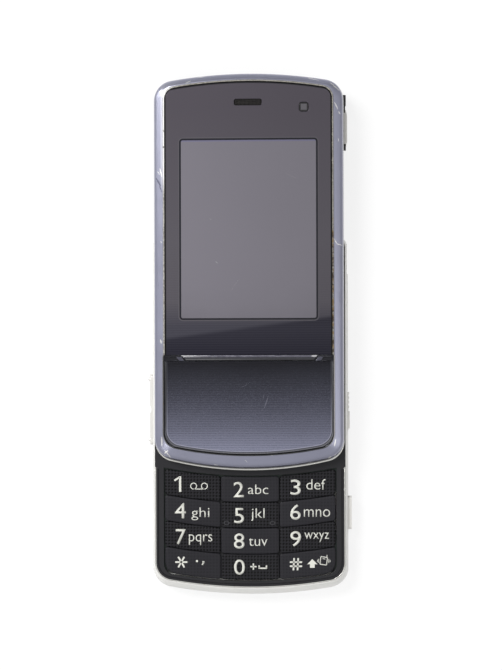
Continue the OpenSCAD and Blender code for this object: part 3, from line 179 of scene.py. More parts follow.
class Graph:
    """Short ways to add and wire the nodes of one tree."""

    def __init__(self, tree, material=None):
        self.tree = tree
        self.material = material
        self.shader = tree.nodes.get("Principled BSDF")

    def put(self, socket, value):
        """Wires an input or sets it; a colour needs no alpha."""
        if isinstance(value, Wire):
            self.tree.links.new(value.socket, socket)
        elif value is not None:
            socket.default_value = (*value[:3], 1.0) if socket.type == "RGBA" else value

    def add(self, kind, inputs=None, **settings):
        made = self.tree.nodes.new(kind)
        for name, value in settings.items():
            setattr(made, name, value)
        for name, value in (inputs or {}).items():
            self.put(made.inputs[name], value)
        return made

    def value(self, kind, inputs=None, out=0, **settings):
        """Adds a node and gives one of its outputs."""
        return Wire(self, self.add(kind, inputs, **settings).outputs[out])

    def outputs(self, kind, inputs=None, **settings):
        """Adds a node and gives all its outputs by name."""
        made = self.add(kind, inputs, **settings)
        return {socket.name: Wire(self, socket) for socket in made.outputs}

    def maths(self, operation, *values, clamp=False):
        return self.value("ShaderNodeMath", dict(enumerate(values)), operation=operation, use_clamp=clamp)

    def vector(self, operation, *values, out="Vector"):
        return self.value("ShaderNodeVectorMath", dict(enumerate(values)), out, operation=operation)

    def scaled(self, vector, factor):
        return self.value("ShaderNodeVectorMath", {0: vector, "Scale": factor}, operation="SCALE")

    def millimetres(self):
        return self.scaled(self.value("ShaderNodeTexCoord", out="Object"), 1000)

    def split(self, vector):
        return list(self.outputs("ShaderNodeSeparateXYZ", {"Vector": vector}).values())

    def plan(self):
        """The place in millimetres, and its parts across and up the phone."""
        place = self.millimetres()
        return place, *self.split(place)[:2]

    def join(self, x, y):
        return self.value("ShaderNodeCombineXYZ", {"X": x, "Y": y})

    def ramp(self, value, stops):
        made = self.add("ShaderNodeValToRGB", {"Fac": value})
        points = made.color_ramp.elements
        while len(points) < len(stops):
            points.new(0.5)
        for point, (place, shade) in zip(points, stops):
            point.position = place
            point.color = (*shade[:3], 1)
        return Wire(self, made.outputs["Color"])

    def noise(self, vector, scale, detail=2.0, roughness=0.5):
        given = {"Vector": vector, "Scale": scale, "Detail": detail, "Roughness": roughness}
        return self.value("ShaderNodeTexNoise", given)

    def group(self, name, **inputs):
        given = {label.capitalize(): value for label, value in inputs.items()}
        return self.outputs("ShaderNodeGroup", given, node_tree=bpy.data.node_groups[name])

    def mask(self, name, **inputs):
        return self.group(name, **inputs)["Mask"]

    def largest(self, *values):
        result = values[0]
        for value in values[1:]:
            result = self.maths("MAXIMUM", result, value)
        return result

    def scratches(self, marks):
        """Largest mask of several scratches, each given as its two ends and its width in millimetres."""
        masks = [
            self.mask("scratch", start=(xa, ya, 0), end=(xb, yb, 0), width=width)
            for xa, ya, xb, yb, width in marks
        ]
        return self.largest(*masks)

    def done(self, colour, roughness=None, height=None, distance=0.0):
        """Feeds the shader, with a height in 0..1 as a relief in millimetres, and gives the material."""
        inputs = self.shader.inputs
        self.put(inputs["Base Color"], colour)
        self.put(inputs["Roughness"], roughness)
        if height:
            given = {"Strength": 1.0, "Distance": distance * MM, "Height": height}
            self.put(inputs["Normal"], self.value("ShaderNodeBump", given))
        return self.material


def tint(shade, factor, lift=0.0):
    """A lighter or darker tone of a colour."""
    return tuple(min(1.0, part * factor + lift) for part in shade)


def shader_group(name, inputs, outputs):
    """An empty node group with named sockets, and its graph."""
    tree = bpy.data.node_groups.new(name, "ShaderNodeTree")
    for label, default in inputs:
        kind = "NodeSocketVector" if isinstance(default, tuple) else "NodeSocketFloat"
        socket = tree.interface.new_socket(label, in_out="INPUT", socket_type=kind)
        socket.default_value = default
    for label in outputs:
        tree.interface.new_socket(label, in_out="OUTPUT", socket_type="NodeSocketFloat")
    graph = Graph(tree)
    return graph, graph.outputs("NodeGroupInput"), graph.add("NodeGroupOutput").inputs


def grain_group():
    """Fine moulding grain and broad, uneven handling of a surface."""
    graph, given, result = shader_group("grain", [("Size", 0.1)], ["Fine", "Broad"])
    place = graph.millimetres()
    graph.put(result["Fine"], graph.noise(place, 1.0 / given["Size"], 3.0, 0.6))
    graph.put(result["Broad"], graph.noise(place, 0.012 / given["Size"], 4.0, 0.55))


def edge_wear_group():
    """Patches along the edges, where hands and pockets have rubbed; on the plain keys the same patches are a
    painted highlight.
    """
    graph, given, result = shader_group("edge wear", [("Reach", 0.15), ("Patches", 0.5)], ["Mask"])
    rounded = graph.value("ShaderNodeBevel", {"Radius": given["Reach"] * MM}, samples=4)
    flat = graph.value("ShaderNodeNewGeometry", out="Normal")
    edge = (1.0 - graph.vector("DOT_PRODUCT", rounded, flat, out="Value")).step(0.01, 0.12)
    breaks = graph.noise(graph.millimetres(), 0.9, 5.0, 0.7)
    threshold = 1.0 - given["Patches"]
    patch = breaks.step(threshold, threshold + 0.12)
    graph.put(result["Mask"], edge * patch)


def scratch_group():
    """One scratch between two points, in millimetres, with ends that taper off."""
    graph, given, result = shader_group(
        "scratch", [("Start", (0.0, 0.0, 0.0)), ("End", (1.0, 0.0, 0.0)), ("Width", 0.1)], ["Mask"]
    )
    place = graph.millimetres() * (1.0, 1.0, 0.0)
    bend = (graph.noise(place, 1.4, 2.0) - 0.5) * 0.35
    place = graph.vector("ADD", place, graph.join(bend, bend))
    line = graph.vector("SUBTRACT", given["End"], given["Start"])
    arm = graph.vector("SUBTRACT", place, given["Start"])
    along = graph.maths(
        "DIVIDE",
        graph.vector("DOT_PRODUCT", arm, line, out="Value"),
        graph.vector("DOT_PRODUCT", line, line, out="Value"),
        clamp=True,
    )
    away = graph.vector("LENGTH", graph.vector("SUBTRACT", arm, graph.scaled(line, along)), out="Value")
    middle = 1.0 - abs(along - 0.5)
    graph.put(result["Mask"], away.step(given["Width"] * middle, 0.0))


def dust_group():
    """Sparse specks of dust and lint."""
    graph, given, result = shader_group("dust", [("Spacing", 2.0), ("Share", 0.2), ("Size", 0.08)], ["Mask"])
    place = graph.scaled(graph.millimetres(), 1.0 / given["Spacing"])
    cells = graph.outputs("ShaderNodeTexVoronoi", {"Vector": place, "Scale": 1.0})
    chosen = graph.split(cells["Color"])[0].step(given["Share"], given["Share"] * 0.9)
    size = given["Size"] / given["Spacing"]
    speck = cells["Distance"].step(size, size * 0.4)
    graph.put(result["Mask"], chosen * speck)


def pits_group():
    """Square grid of round pits across X and Y."""
    graph, given, result = shader_group("pits", [("Pitch", 0.56), ("Share", 0.33)], ["Mask"])
    place = graph.split(graph.millimetres())[:2]
    folded = [graph.maths("FRACT", part / given["Pitch"] + 100.0) - 0.5 for part in place]
    away = graph.vector("LENGTH", graph.join(*folded), out="Value")
    graph.put(result["Mask"], away.step(given["Share"], given["Share"] * 0.55))


def hairlines_group():
    """Ruled lines across X at an even pitch, and the fine drawn-out streaks between them."""
    graph, given, result = shader_group("hairlines", [("Pitch", 0.67)], ["Line", "Streak"])
    place = graph.millimetres()
    cell = graph.maths("FRACT", graph.split(place)[1] / given["Pitch"] + 200.0)
    graph.put(result["Line"], abs(cell - 0.5).step(0.12, 0.38))
    graph.put(result["Streak"], graph.noise(place * (0.9, 14.0, 1.0), 1.0, 3.0, 0.6))


def make_groups():
    for make in (grain_group, edge_wear_group, scratch_group, dust_group, pits_group, hairlines_group):
        make()


# ---- Materials --------------------------------------------------------------------------------


def finish(name, shade, roughness, metallic=0.0, coat=0.0, coat_roughness=0.08, gloss=0.5):
    """The graph of a new material, with its Principled shader set."""
    material = bpy.data.materials.new(name)
    material.use_nodes = True
    material.diffuse_color = (*shade[:3], 1.0)
    graph = Graph(material.node_tree, material)
    graph.done(shade, roughness)
    settings = {
        "Metallic": metallic, "Coat Weight": coat, "Coat Roughness": coat_roughness,
        "Specular IOR Level": gloss,
    }
    for socket, value in settings.items():
        graph.put(graph.shader.inputs[socket], value)
    return graph


def painted(name, shade, roughness, grain=0.12, worn=None, metallic=0.0, coat=0.0, patches=0.45, reach=0.16,
            relief=0.004, dusty=0.12, gloss=0.5):
    """Moulded or painted shell with fine grain, uneven gloss, rubbed edges and a little dust."""
    graph = finish(name, shade, roughness, metallic, coat, gloss=gloss)
    texture = graph.group("grain", size=grain)
    base = texture["Broad"].mix(tint(shade, 0.93), tint(shade, 1.06))
    base = texture["Fine"].step(0.62, 0.75).mix(base, tint(shade, 1.18, 0.004))
    if worn:
        wear_and_highlight = graph.mask("edge wear", reach=reach, patches=patches)
        base = wear_and_highlight.mix(base, worn)
    dust = graph.mask("dust", spacing=1.7, share=dusty, size=0.07)
    base = (dust * 0.5).mix(base, (0.45, 0.44, 0.42))
    gloss_spread = texture["Broad"].between(roughness * 0.8, roughness * 1.25)
    return graph.done(base, gloss_spread, texture["Fine"], relief)


def metal(name, shade, roughness, streaks=(1.0, 12.0, 1.0), tarnish=None, amount=0.5):
    """Drawn or plated metal with streaks, and tarnish in patches."""
    graph = finish(name, shade, roughness, 1.0)
    place = graph.millimetres()
    streak = graph.noise(place * streaks, 1.5, 4.0, 0.6)
    base = streak.mix(tint(shade, 0.82), shade)
    if tarnish:
        patch = graph.noise(place, 0.55, 5.0, 0.65)
        base = patch.step(1.0 - amount, 1.12 - amount).mix(base, tarnish)
    return graph.done(base, streak.between(roughness * 0.75, roughness * 1.35), streak, 0.004)


# Scratches and chips: both ends and the width, in millimetres.
RIM_LIGHT_MARKS = (
    (21.6, 43.6, 22.4, 42.4, 0.16), (22.4, 42.4, 23.6, 42.0, 0.16), (22.6, 76.3, 21.9, 78.0, 0.2),
    (20.9, 83.0, 23.0, 81.1, 0.24), (-22.1, 43.3, -21.9, 42.9, 0.2), (-22.3, 18.4, -22.0, 17.5, 0.3),
    (22.9, 75.7, 23.2, 75.1, 0.2), (-22.0, -6.2, -22.0, -8.4, 0.3), (14.9, -12.9, 16.3, -12.6, 0.14),
    (-12.9, 84.6, -11.0, 84.9, 0.1), (15.2, 84.3, 17.9, 83.6, 0.12), (-9.0, -13.2, -7.9, -13.4, 0.12),
    (-22.3, 61.6, -21.8, 59.6, 0.34), (-22.9, 60.9, -22.5, 60.1, 0.16), (-15.7, 83.2, -14.5, 83.7, 0.22),
    (-22.5, 80.8, -21.9, 81.6, 0.26), (-21.3, -9.6, -19.9, -11.4, 0.22), (21.2, -11.8, 21.9, -10.7, 0.18),
    (22.7, 68.9, 22.9, 68.2, 0.14), (-1.0, -12.0, -0.4, -12.6, 0.08), (21.9, -6.9, 21.6, -8.5, 0.26),
    (20.0, -11.6, 20.7, -11.3, 0.28), (-20.6, -9.7, -21.4, -10.4, 0.34),
)
RIM_DARK_MARKS = (
    (-23.3, 59.2, -22.2, 57.3, 0.42), (-22.5, 57.7, -21.9, 55.7, 0.3), (22.9, 30.4, 23.1, 27.5, 0.06),
    (-22.9, 33.0, -22.8, 31.2, 0.06), (19.6, -12.6, 20.6, -12.1, 0.16),
)


def rim_material():
    """Blue-grey metallic lacquer, glossy, scratched and chipped where it has met keys and coins, with painted
    light: a painted highlight towards the foot, a painted shadow low on the chin and a painted highlight on
    the left lip.
    """
    shade = colours().rim
    graph = finish("rim lacquer", shade, 0.3, 0.62, 0.35, 0.12)
    texture = graph.group("grain", size=0.07)
    base = texture["Broad"].mix(tint(shade, 0.92), tint(shade, 1.08))
    base = texture["Fine"].step(0.6, 0.72).mix(base, tint(shade, 1.22))
    across, up, height = graph.split(graph.millimetres())
    # painted highlight: the lacquer is painted lighter towards the rim's foot
    base = up.step(-8.0, -14.0).mix(base, tint(shade, 1.08))
    # painted shadow: a dark band low on the chin, above the bright trim
    foot = height.step(10.2, 9.7) * up.step(-11.0, -12.5)
    base = (foot * 0.75).mix(base, (0.03, 0.03, 0.04))
    # painted highlight: a pale band down the upper left lip of the rim
    lip = across.step(-22.3, -21.95) * across.step(-10.0, -20.0)
    lip = lip * up.step(54.0, 60.0) * up.step(85.0, 80.0)
    base = (lip * 0.25).mix(base, (0.7, 0.7, 0.72))
    light, dark = graph.scratches(RIM_LIGHT_MARKS), graph.scratches(RIM_DARK_MARKS)
    wear_and_highlight = graph.mask("edge wear", reach=0.22, patches=0.42)
    base = graph.largest(light, wear_and_highlight * 0.85).mix(base, (0.72, 0.71, 0.68))
    base = (dark * 0.85).mix(base, (0.05, 0.05, 0.09))
    dust = graph.mask("dust", spacing=2.6, share=0.16, size=0.1)
    base = (dust * 0.6).mix(base, (0.62, 0.61, 0.6))
    relief = texture["Fine"] * 0.1 - graph.largest(light, dark)
    return graph.done(base, texture["Broad"].between(0.24, 0.38), relief, 0.012)


SCREEN_MIDDLE, SCREEN_HALF, SCREEN_ROUND = (0.09, 46.235), (17.08, 22.48), 0.5


def inside_box(graph, place, middle, half, corner):
    """Signed distance in millimetres to a rounded rectangle's outline, below 0 inside."""
    near = graph.vector("ABSOLUTE", graph.vector("SUBTRACT", place, (*middle, 0.0)))
    out = graph.vector("SUBTRACT", near, (half[0] - corner, half[1] - corner, 100.0))
    out = graph.vector("MAXIMUM", out, (0.0, 0.0, 0.0))
    return graph.vector("LENGTH", out, out="Value") - corner


def glass_material():
    """Smoked glass with the unlit screen behind it, its thin black frame, and ruled lines low down, painted
    with reflections and shade.
    """
    tones = colours()
    graph = finish("smoked glass", tones.glass, 0.09, gloss=0.25)
    place, across, up = graph.plan()
    texture = graph.group("grain", size=0.3)
    level = (up - 14.0) / 70.0
    # the smoked glass's tone with a painted reflection: lighter and darker bands up the glass
    smoke_and_reflection = graph.ramp(
        level, [(0.11, (0.0345, 0.033, 0.045)), (0.2, (0.0646, 0.0593, 0.07)),
                (0.42, (0.07, 0.0646, 0.0758)), (0.9, tones.glass)],
    )
    # below the screen the glass is painted darker along a slanting edge, a painted dark reflection on the
    # smoked glass
    low = graph.ramp(
        level, [(0.0, tones.glass_low), (0.1, (0.0153, 0.0142, 0.0236)), (0.16, (0.012, 0.011, 0.019))]
    )
    shade = (up - across * 0.131).step(22.0, 20.7).mix(smoke_and_reflection, low)
    lines = graph.group("hairlines", pitch=sizes().hairline_pitch / MM)
    ruled = lines["Line"] * up.step(60.0, 20.0)
    shade = (ruled * 0.05).mix(shade, (0.13, 0.13, 0.15))
    edge = inside_box(graph, place, SCREEN_MIDDLE, SCREEN_HALF, SCREEN_ROUND)
    screen = tones.screen
    # painted shade: the screen is darker towards its lower edge and a little towards its top
    panel = graph.ramp(
        level, [(0.13, tint(screen, 0.66)), (0.19, tint(screen, 0.86)),
                (0.26, tint(screen, 0.96)), (0.36, screen), (0.78, tint(screen, 0.93))],
    )
    panel = texture["Broad"].mix(panel, tint(screen, 1.03))
    # painted highlight: a thin pale blue line along the screen's top edge
    top_highlight = up.step(68.25, 68.4) * across.step(17.4, 17.0)
    panel = (top_highlight * 0.8).mix(panel, (0.12, 0.115, 0.185))
    shade = edge.step(0.78, 0.6).mix(shade, (0.074, 0.069, 0.08))
    shade = edge.step(0.52, 0.34).mix(shade, (0.01, 0.01, 0.014))
    shade = edge.step(0.06, -0.1).mix(shade, panel)
    # painted shade: the glass is a little darker towards its right side, and painted black as shadow where
    # its ground edge meets the gap
    shade = (across.step(-24.0, 24.0) * 0.16).mix(shade, (0.0, 0.0, 0.0))
    top = (up + across * across / 231.6).step(82.98, 83.12)
    shade = (graph.largest(abs(across).step(20.7, 20.85), top) * 0.8).mix(shade, (0.008, 0.008, 0.009))
    dust = graph.mask("dust", spacing=3.4, share=0.22, size=0.09)
    marks = graph.scratches(((-9.7, 48.9, -9.3, 48.7, 0.09), (-8.2, 38.1, -7.7, 37.6, 0.1),
                              (9.2, 60.4, 12.4, 58.8, 0.02), (-4.4, 30.6, -2.2, 33.9, 0.018)))
    shade = (graph.largest(dust, marks) * 0.45).mix(shade, (0.5, 0.5, 0.5))
    return graph.done(shade, texture["Broad"].between(0.06, 0.16), marks, -0.004)


def plate_material():
    """Dark metal of the touch plate, lighter at its lower edge by a painted reflection, with hairlines and a
    stepped border drawn in painted shade and highlights.
    """
    tones = colours()
    graph = finish("ruled metal", tones.plate_low, 0.42, 0.35, 0.0, gloss=0.12)
    place, across, up = graph.plan()
    lines = graph.group("hairlines", pitch=sizes().hairline_pitch / MM)
    patch = graph.noise(place, 0.07, 3.0)
    height = up + (patch - 0.5) * 2.0
    # painted reflection: the dark metal lightens from the glass down to the plate's lower edge
    shade = graph.ramp(
        (13.0 - height) / 24.0,
        [(0.03, tones.plate_top), (0.203, (0.0225, 0.023, 0.031)), (0.372, (0.0365, 0.0372, 0.051)),
         (0.54, (0.059, 0.0605, 0.0825)), (0.71, (0.092, 0.0945, 0.129)), (0.94, tones.plate_low)],
    )
    breaks = graph.noise(place * (2.8, 7.0, 1.0), 1.0, 2.0, 0.7)
    ruled = lines["Line"] * breaks.step(0.34, 0.6)
    shade = (ruled * 0.34).mix(shade, (0.008, 0.008, 0.012))
    specks = graph.noise(place * (3.2, 5.5, 1.0), 1.0, 1.0, 0.6)
    glint = specks.step(0.5, 0.7) * up.step(16.0, -6.0)
    shade = (glint * 0.14).mix(shade, (0.26, 0.27, 0.35))
    # the border follows the plate's arched outline and is drawn in painted light and shade
    flattened = graph.join(across, up - across * across / 188)
    border = inside_box(graph, flattened, (0.0, 1.9), (21.45, 12.55), 3.7)
    right = across.step(19.0, 20.6)
    near = border - right * 0.1
    foot = up.step(-6.5, -9.5)
    # painted shadow: a dark band along the gap round the plate
    shade = (near.step(-0.64, -0.56) * 0.85).mix(shade, (0.04, 0.041, 0.043))
    # painted light: a grey step face, lighter at the foot and the right side
    ledge = near.step(-0.42, -0.34) * near.step(-0.04, -0.12)
    shade = (ledge * graph.largest(foot, right).between(0.45, 0.9)).mix(shade, (0.13, 0.13, 0.14))
    # painted highlight: a bright line along the border, brighter towards the foot
    lit = near.step(-0.88, -0.78) * near.step(-0.6, -0.7)
    bright = graph.ramp(up.step(10.0, -9.0), [(0.0, (0.055, 0.057, 0.068)), (1.0, (0.25, 0.25, 0.31))])
    shade = (lit * 0.85).mix(shade, bright)
    wear_and_highlight = graph.mask("edge wear", reach=0.2, patches=0.62)
    marks = graph.scratches(((4.9, 4.0, 4.0, 1.1, 0.07), (3.9, 4.6, 3.6, 3.2, 0.04),
                              (-14.8, -6.1, -14.2, -3.2, 0.03), (-2.0, 6.2, 0.4, 7.5, 0.02)))
    shade = graph.largest(wear_and_highlight * 0.3, marks * 0.6).mix(shade, (0.3, 0.3, 0.36))
    return graph.done(shade, lines["Streak"].between(0.34, 0.55), 1.0 - ruled, 0.02)


def key_material(pitted):
    """Black key cap. Every other key carries a grid of pits; the rest are smooth with a faint grid."""
    shade = colours().key if pitted else tint(colours().key, 1.25)
    graph = finish("pitted key" if pitted else "plain key", shade, 0.42, gloss=0.1)
    texture = graph.group("grain", size=0.09)
    base = texture["Broad"].mix(tint(shade, 0.9), tint(shade, 1.15))
    if not pitted:
        # painted highlight: on the plain keys the edge mask lightens the rounded edges
        wear_and_highlight = graph.mask("edge wear", reach=0.3, patches=0.8)
        base = (wear_and_highlight * 0.35).mix(base, (0.045, 0.045, 0.053))
    pits = graph.mask("pits", pitch=sizes().pit_pitch / MM, share=0.42)
    base = (pits * (0.95 if pitted else 0.22)).mix(base, (0.001, 0.001, 0.001))
    dust = graph.mask("dust", spacing=1.1, share=0.07, size=0.05)
    base = (dust * 0.4).mix(base, (0.2, 0.19, 0.18))
    return graph.done(base, texture["Fine"].between(0.36, 0.5), 1.0 - pits, 0.06 if pitted else 0.012)


def legend_material():
    """Pale printed ink, slightly uneven."""
    shade = colours().legend
    graph = finish("legend ink", shade, 0.5)
    texture = graph.group("grain", size=0.16)
    base = texture["Fine"].mix(tint(shade, 0.86), tint(shade, 1.1))
    return graph.done(base)


def mesh_material(name, pitch):
    """Fine woven cover: dark holes in a grid of grey wires."""
    graph = finish(name, (0.02, 0.02, 0.021), 0.45, 0.4, gloss=0.1)
    holes = graph.mask("pits", pitch=pitch, share=0.46)
    return graph.done(holes.mix((0.03, 0.028, 0.027), (0.001, 0.001, 0.001)), None, 1.0 - holes, 0.08)


def lens_material(name, middle, reach, corner, stops):
    """Dark glass over a lens, in rings round its axis. A corner below the reach makes them squarish."""
    graph = finish(name, (0.02, 0.02, 0.024), 0.06, 0.0, 0.3, 0.03)
    away = inside_box(graph, graph.millimetres(), middle, (reach, reach), corner)
    dust = graph.mask("dust", spacing=0.8, share=0.2, size=0.05)
    return graph.done(graph.ramp((away + reach) / reach, stops), dust.between(0.05, 0.5))


def worn_line_material():
    """Thin plated edge round the glass, worn through to brass and dark plastic down its right side, with a
    painted highlight down its upper left side.
    """
    graph = finish("worn edge", (0.62, 0.6, 0.54), 0.34, 0.6)
    place, across, up = graph.plan()
    patch = graph.noise(place, 0.5, 5.0, 0.7)
    spots = graph.noise(place, 1.9, 4.0, 0.65)
    shade = spots.step(0.42, 0.6).mix((0.26, 0.25, 0.23), (0.46, 0.45, 0.41))
    # painted highlight: the line is painted near white down its upper left stretch
    bright = up.step(54.0, 60.0) * across.step(-17.0, -20.5)
    shade = bright.mix(shade, (0.8, 0.79, 0.77))
    dim = graph.largest(up.step(80.5, 82.5), across.step(19.0, 21.0))
    shade = (dim * 0.45).mix(shade, (0.12, 0.11, 0.09))
    plate = graph.ramp(up.step(-7.0, -10.0), [(0.0, (0.13, 0.132, 0.13)), (1.0, (0.012, 0.012, 0.014))])
    plate = (across.step(19.5, 20.8) * up.step(-8.5, -6.0)).mix(plate, (0.4, 0.39, 0.38))
    shade = (up.step(14.6, 13.9) * 0.9).mix(shade, plate)
    right = across.step(19.0, 21.0) * up.step(52.0, 44.0) * up.step(14.0, 16.0)
    worn = patch + right * 0.16
    shade = worn.step(0.62, 0.7).mix(shade, (0.07, 0.052, 0.036))
    brass = (graph.noise(place, 1.1, 3.0) + right * 0.18).step(0.68, 0.74)
    shade = (brass * 0.85).mix(shade, (0.22, 0.15, 0.065))
    return graph.done(shade, spots.between(0.25, 0.5), spots, 0.02)


def step_bar_material():
    """Polished bar painted with its light and shade: a painted highlight along its upper edge and at its
    ends, stronger on the left, a painted shaded hollow, a paler lower edge lighter on the left, and painted
    black shadow where it meets the plate.
    """
    graph = finish("step bar", (0.3, 0.3, 0.36), 0.22, 0.5)
    place, across, up = graph.plan()
    streak = graph.noise(place * (0.5, 5.0, 1.0), 1.2, 3.0)
    # painted highlight: the upper edge and the ends, brighter on the left
    upper = streak.step(0.42, 0.6).mix((0.13, 0.127, 0.165), (0.24, 0.235, 0.28))
    ends = abs(across).step(15.6, 16.4)
    upper = graph.largest(ends, across.step(-8.0, -18.0)).mix(upper, (0.66, 0.65, 0.68))
    # painted light: the lower edge paler on the left
    lower = across.step(8.0, -12.0).mix((0.045, 0.045, 0.05), (0.12, 0.12, 0.125))
    # painted shade: a dark hollow between the edges, and painted shadow where the bar meets the plate
    shade = up.step(13.92, 14.02).mix((0.038, 0.038, 0.047), upper)
    shade = up.step(13.56, 13.46).mix(shade, lower)
    shade = up.step(13.26, 13.18).mix(shade, (0.004, 0.004, 0.006))
    return graph.done(shade, streak.between(0.18, 0.34))


def board_material():
    """Dark green circuit board with thin tracks and tinned pads."""
    graph = finish("circuit board", (0.004, 0.018, 0.011), 0.35)
    place = graph.millimetres()
    tracks = graph.value(
        "ShaderNodeTexBrick",
        {"Vector": place, "Scale": 0.55, "Mortar Size": 0.03, "Color1": (0.004, 0.017, 0.01),
         "Color2": (0.005, 0.021, 0.013), "Mortar": (0.012, 0.045, 0.026)},
    )
    pads = graph.mask("dust", spacing=2.1, share=0.45, size=0.35)
    graph.put(graph.shader.inputs["Metallic"], pads)
    return graph.done(pads.mix(tracks, (0.6, 0.57, 0.5)), None, pads, 0.03)


def film_material(name, shade, lines):
    """Thin film: matt, with faint lines along it, as on a flexible circuit or a dome sheet."""
    graph = finish(name, shade, 0.4, 0.0, 0.2)
    across = graph.split(graph.millimetres())[0]
    cell = graph.maths("FRACT", across * lines + 100.0)
    stripe = cell.step(0.45, 0.55)
    base = (stripe * 0.35).mix(shade, tint(shade, 0.45))
    texture = graph.group("grain", size=0.4)
    return graph.done(texture["Broad"].mix(base, tint(shade, 1.1)))


def make_materials():
    tones = colours()
    silver, black = tones.silver, tones.black
    return {
        "silver_shell": painted("silver paint", silver, 0.36, 0.09, (0.4, 0.39, 0.37), 0.15, 0.15, 0.22),
        "black_shell": painted("black shell", black, 0.3, 0.1, (0.07, 0.07, 0.075), patches=0.35, gloss=0.2),
        "back_shell": painted("soft black back", (0.02, 0.02, 0.023), 0.55, 0.14, (0.07,) * 3, relief=0.01),
        "side_key": painted("silver keys", (0.7, 0.69, 0.66), 0.3, 0.08, (0.35, 0.34, 0.32), 0.4, 0.0, 0.4),
        "bright_trim": metal("bright trim", tones.chrome, 0.22, (1.5, 1.5, 1.5), (0.34, 0.28, 0.18), 0.38),
        "key_mat": painted("silicone mat", (0.02, 0.02, 0.022), 0.6, 0.2, gloss=0.2),
        "circuit_board": board_material(),
        "dome_film": film_material("dome film", (0.66, 0.68, 0.7), 0.12),
        "film": film_material("flex film", (0.42, 0.16, 0.035), 2.2),
        "steel": metal("brushed steel", (0.56, 0.57, 0.58), 0.3, (1.0, 10.0, 1.0), (0.36, 0.34, 0.31), 0.4),
        "contact_metal": metal("gold contacts", (0.8, 0.56, 0.2), 0.25, (4.0, 4.0, 4.0)),
        "battery_wrap": painted("battery wrap", (0.05, 0.075, 0.11), 0.4, 0.2, (0.25, 0.26, 0.28)),
        "dark_plastic": painted("dark plastic", (0.018, 0.018, 0.02), 0.45, 0.12, (0.06, 0.06, 0.06)),
        "mesh": mesh_material("speaker mesh", 0.3),
        "ear_mesh": mesh_material("earpiece mesh", 0.34),
        "rail_plastic": painted("slippery plastic", (0.74, 0.73, 0.68), 0.35, 0.15, None, dusty=0.05),
        "rim": rim_material(),
        "screen_glass": glass_material(),
        "screen": painted("screen frame", (0.17, 0.165, 0.18), 0.35, 0.1),
        "touch_metal": plate_material(),
        "step": painted(
            "step lacquer", (0.012, 0.012, 0.016), 0.25, 0.08, (0.1, 0.1, 0.12), 0.3, 0.0, 0.55, gloss=0.3
        ),
        "step_facet": painted("step facet", (0.06, 0.06, 0.085), 0.2, 0.08, (0.2, 0.2, 0.23), 0.3, 0.0, 0.6),
        "step_bar": step_bar_material(),
        "front_lens": lens_material(
            "front lens", (14.1, 76.95), 1.5, 0.8,
            [(0.0, (0.03, 0.028, 0.033)), (0.16, (0.045, 0.042, 0.048)), (0.3, (0.085, 0.08, 0.09)),
             (0.46, (0.07, 0.066, 0.075)), (0.54, (0.004, 0.004, 0.005)), (0.74, (0.006, 0.006, 0.007)),
             (0.82, (0.056, 0.05, 0.06))],
        ),
        "lens": lens_material(
            "camera lens", (-7.0, 81.525), 2.5, 2.5,
            [(0.0, (0.012, 0.012, 0.016)), (0.26, (0.05, 0.05, 0.06)), (0.42, (0.105, 0.1, 0.11)),
             (0.62, (0.075, 0.07, 0.08)), (0.74, (0.008, 0.008, 0.009)), (1.0, (0.014, 0.013, 0.015))],
        ),
        "pitted_key": key_material(True),
        "plain_key": key_material(False),
        "legend": legend_material(),
        "key_bump": painted("key bumps", (0.034, 0.034, 0.038), 0.4, 0.1, gloss=0.3),
        "worn_line": worn_line_material(),
    }


# Filled by the finishes operator, which comes first.
MATERIALS = {}


# ---- Shapes -----------------------------------------------------------------------------------


def smoothed(piece, angle):
    """Smooth faces with crisp folds sharper than the angle."""
    piece.data.shade_smooth()
    piece.data.set_sharp_from_angle(angle=math.radians(angle))


def placed(bm, name, material, body, replaces=(), smooth=None):
    """Turns a bmesh into a piece of the phone. A piece with no body is left unattached."""
    mesh = bpy.data.meshes.new(name)
    bm.to_mesh(mesh)
    bm.free()
    piece = bpy.data.objects.new(name, mesh)
    bpy.context.scene.collection.objects.link(piece)
    mesh.materials.append(MATERIALS[material])
    if body:
        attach(piece, body)
    if replaces:
        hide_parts(*replaces)
    if smooth:
        smoothed(piece, smooth)
    return piece


def rounded_edges(piece, width, segments=2, angle=34):
    bevel = piece.modifiers.new("edges", "BEVEL")
    bevel.width = width
    bevel.segments = segments
    bevel.limit_method = "ANGLE"
    bevel.angle_limit = math.radians(angle)
    bevel.miter_outer = "MITER_ARC"
    even = piece.modifiers.new("even shading", "WEIGHTED_NORMAL")
    even.keep_sharp = True


# In metres: points of a solid's mesh closer than this are one.
SAME_POINT = 0.000002


def make_flexible_circuit():
    """Folded film copied from the flex cable, left unattached to either half."""
    bm = bmesh.new()
    bm.from_mesh(frame["nodes"]["flex_cable"].data)
    bmesh.ops.remove_doubles(bm, verts=bm.verts, dist=SAME_POINT)
    film = placed(bm, "flexible_circuit", "film", None, ("flex_cable",), 40)
    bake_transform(film)


def dressed(node, material, edge=0.0, angle=32):
    """A merged copy of a solid's mesh with smooth faces and rounded edges, in the solid's place."""
    body = frame["nodes"][node]["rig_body"]
    bm = bmesh.new()
    bm.from_mesh(frame["nodes"][node].data)
    bmesh.ops.remove_doubles(bm, verts=bm.verts, dist=SAME_POINT)
    bmesh.ops.dissolve_limit(
        bm, angle_limit=math.radians(0.6), use_dissolve_boundaries=False, verts=bm.verts, edges=bm.edges,
        delimit=set(),
    )
    piece = placed(bm, node + "_skin", material, body, (node,))
    if "custom_normal" in piece.data.attributes:
        piece.data.attributes.remove(piece.data.attributes["custom_normal"])
    smoothed(piece, angle)
    if edge:
        rounded_edges(piece, edge)
    return piece


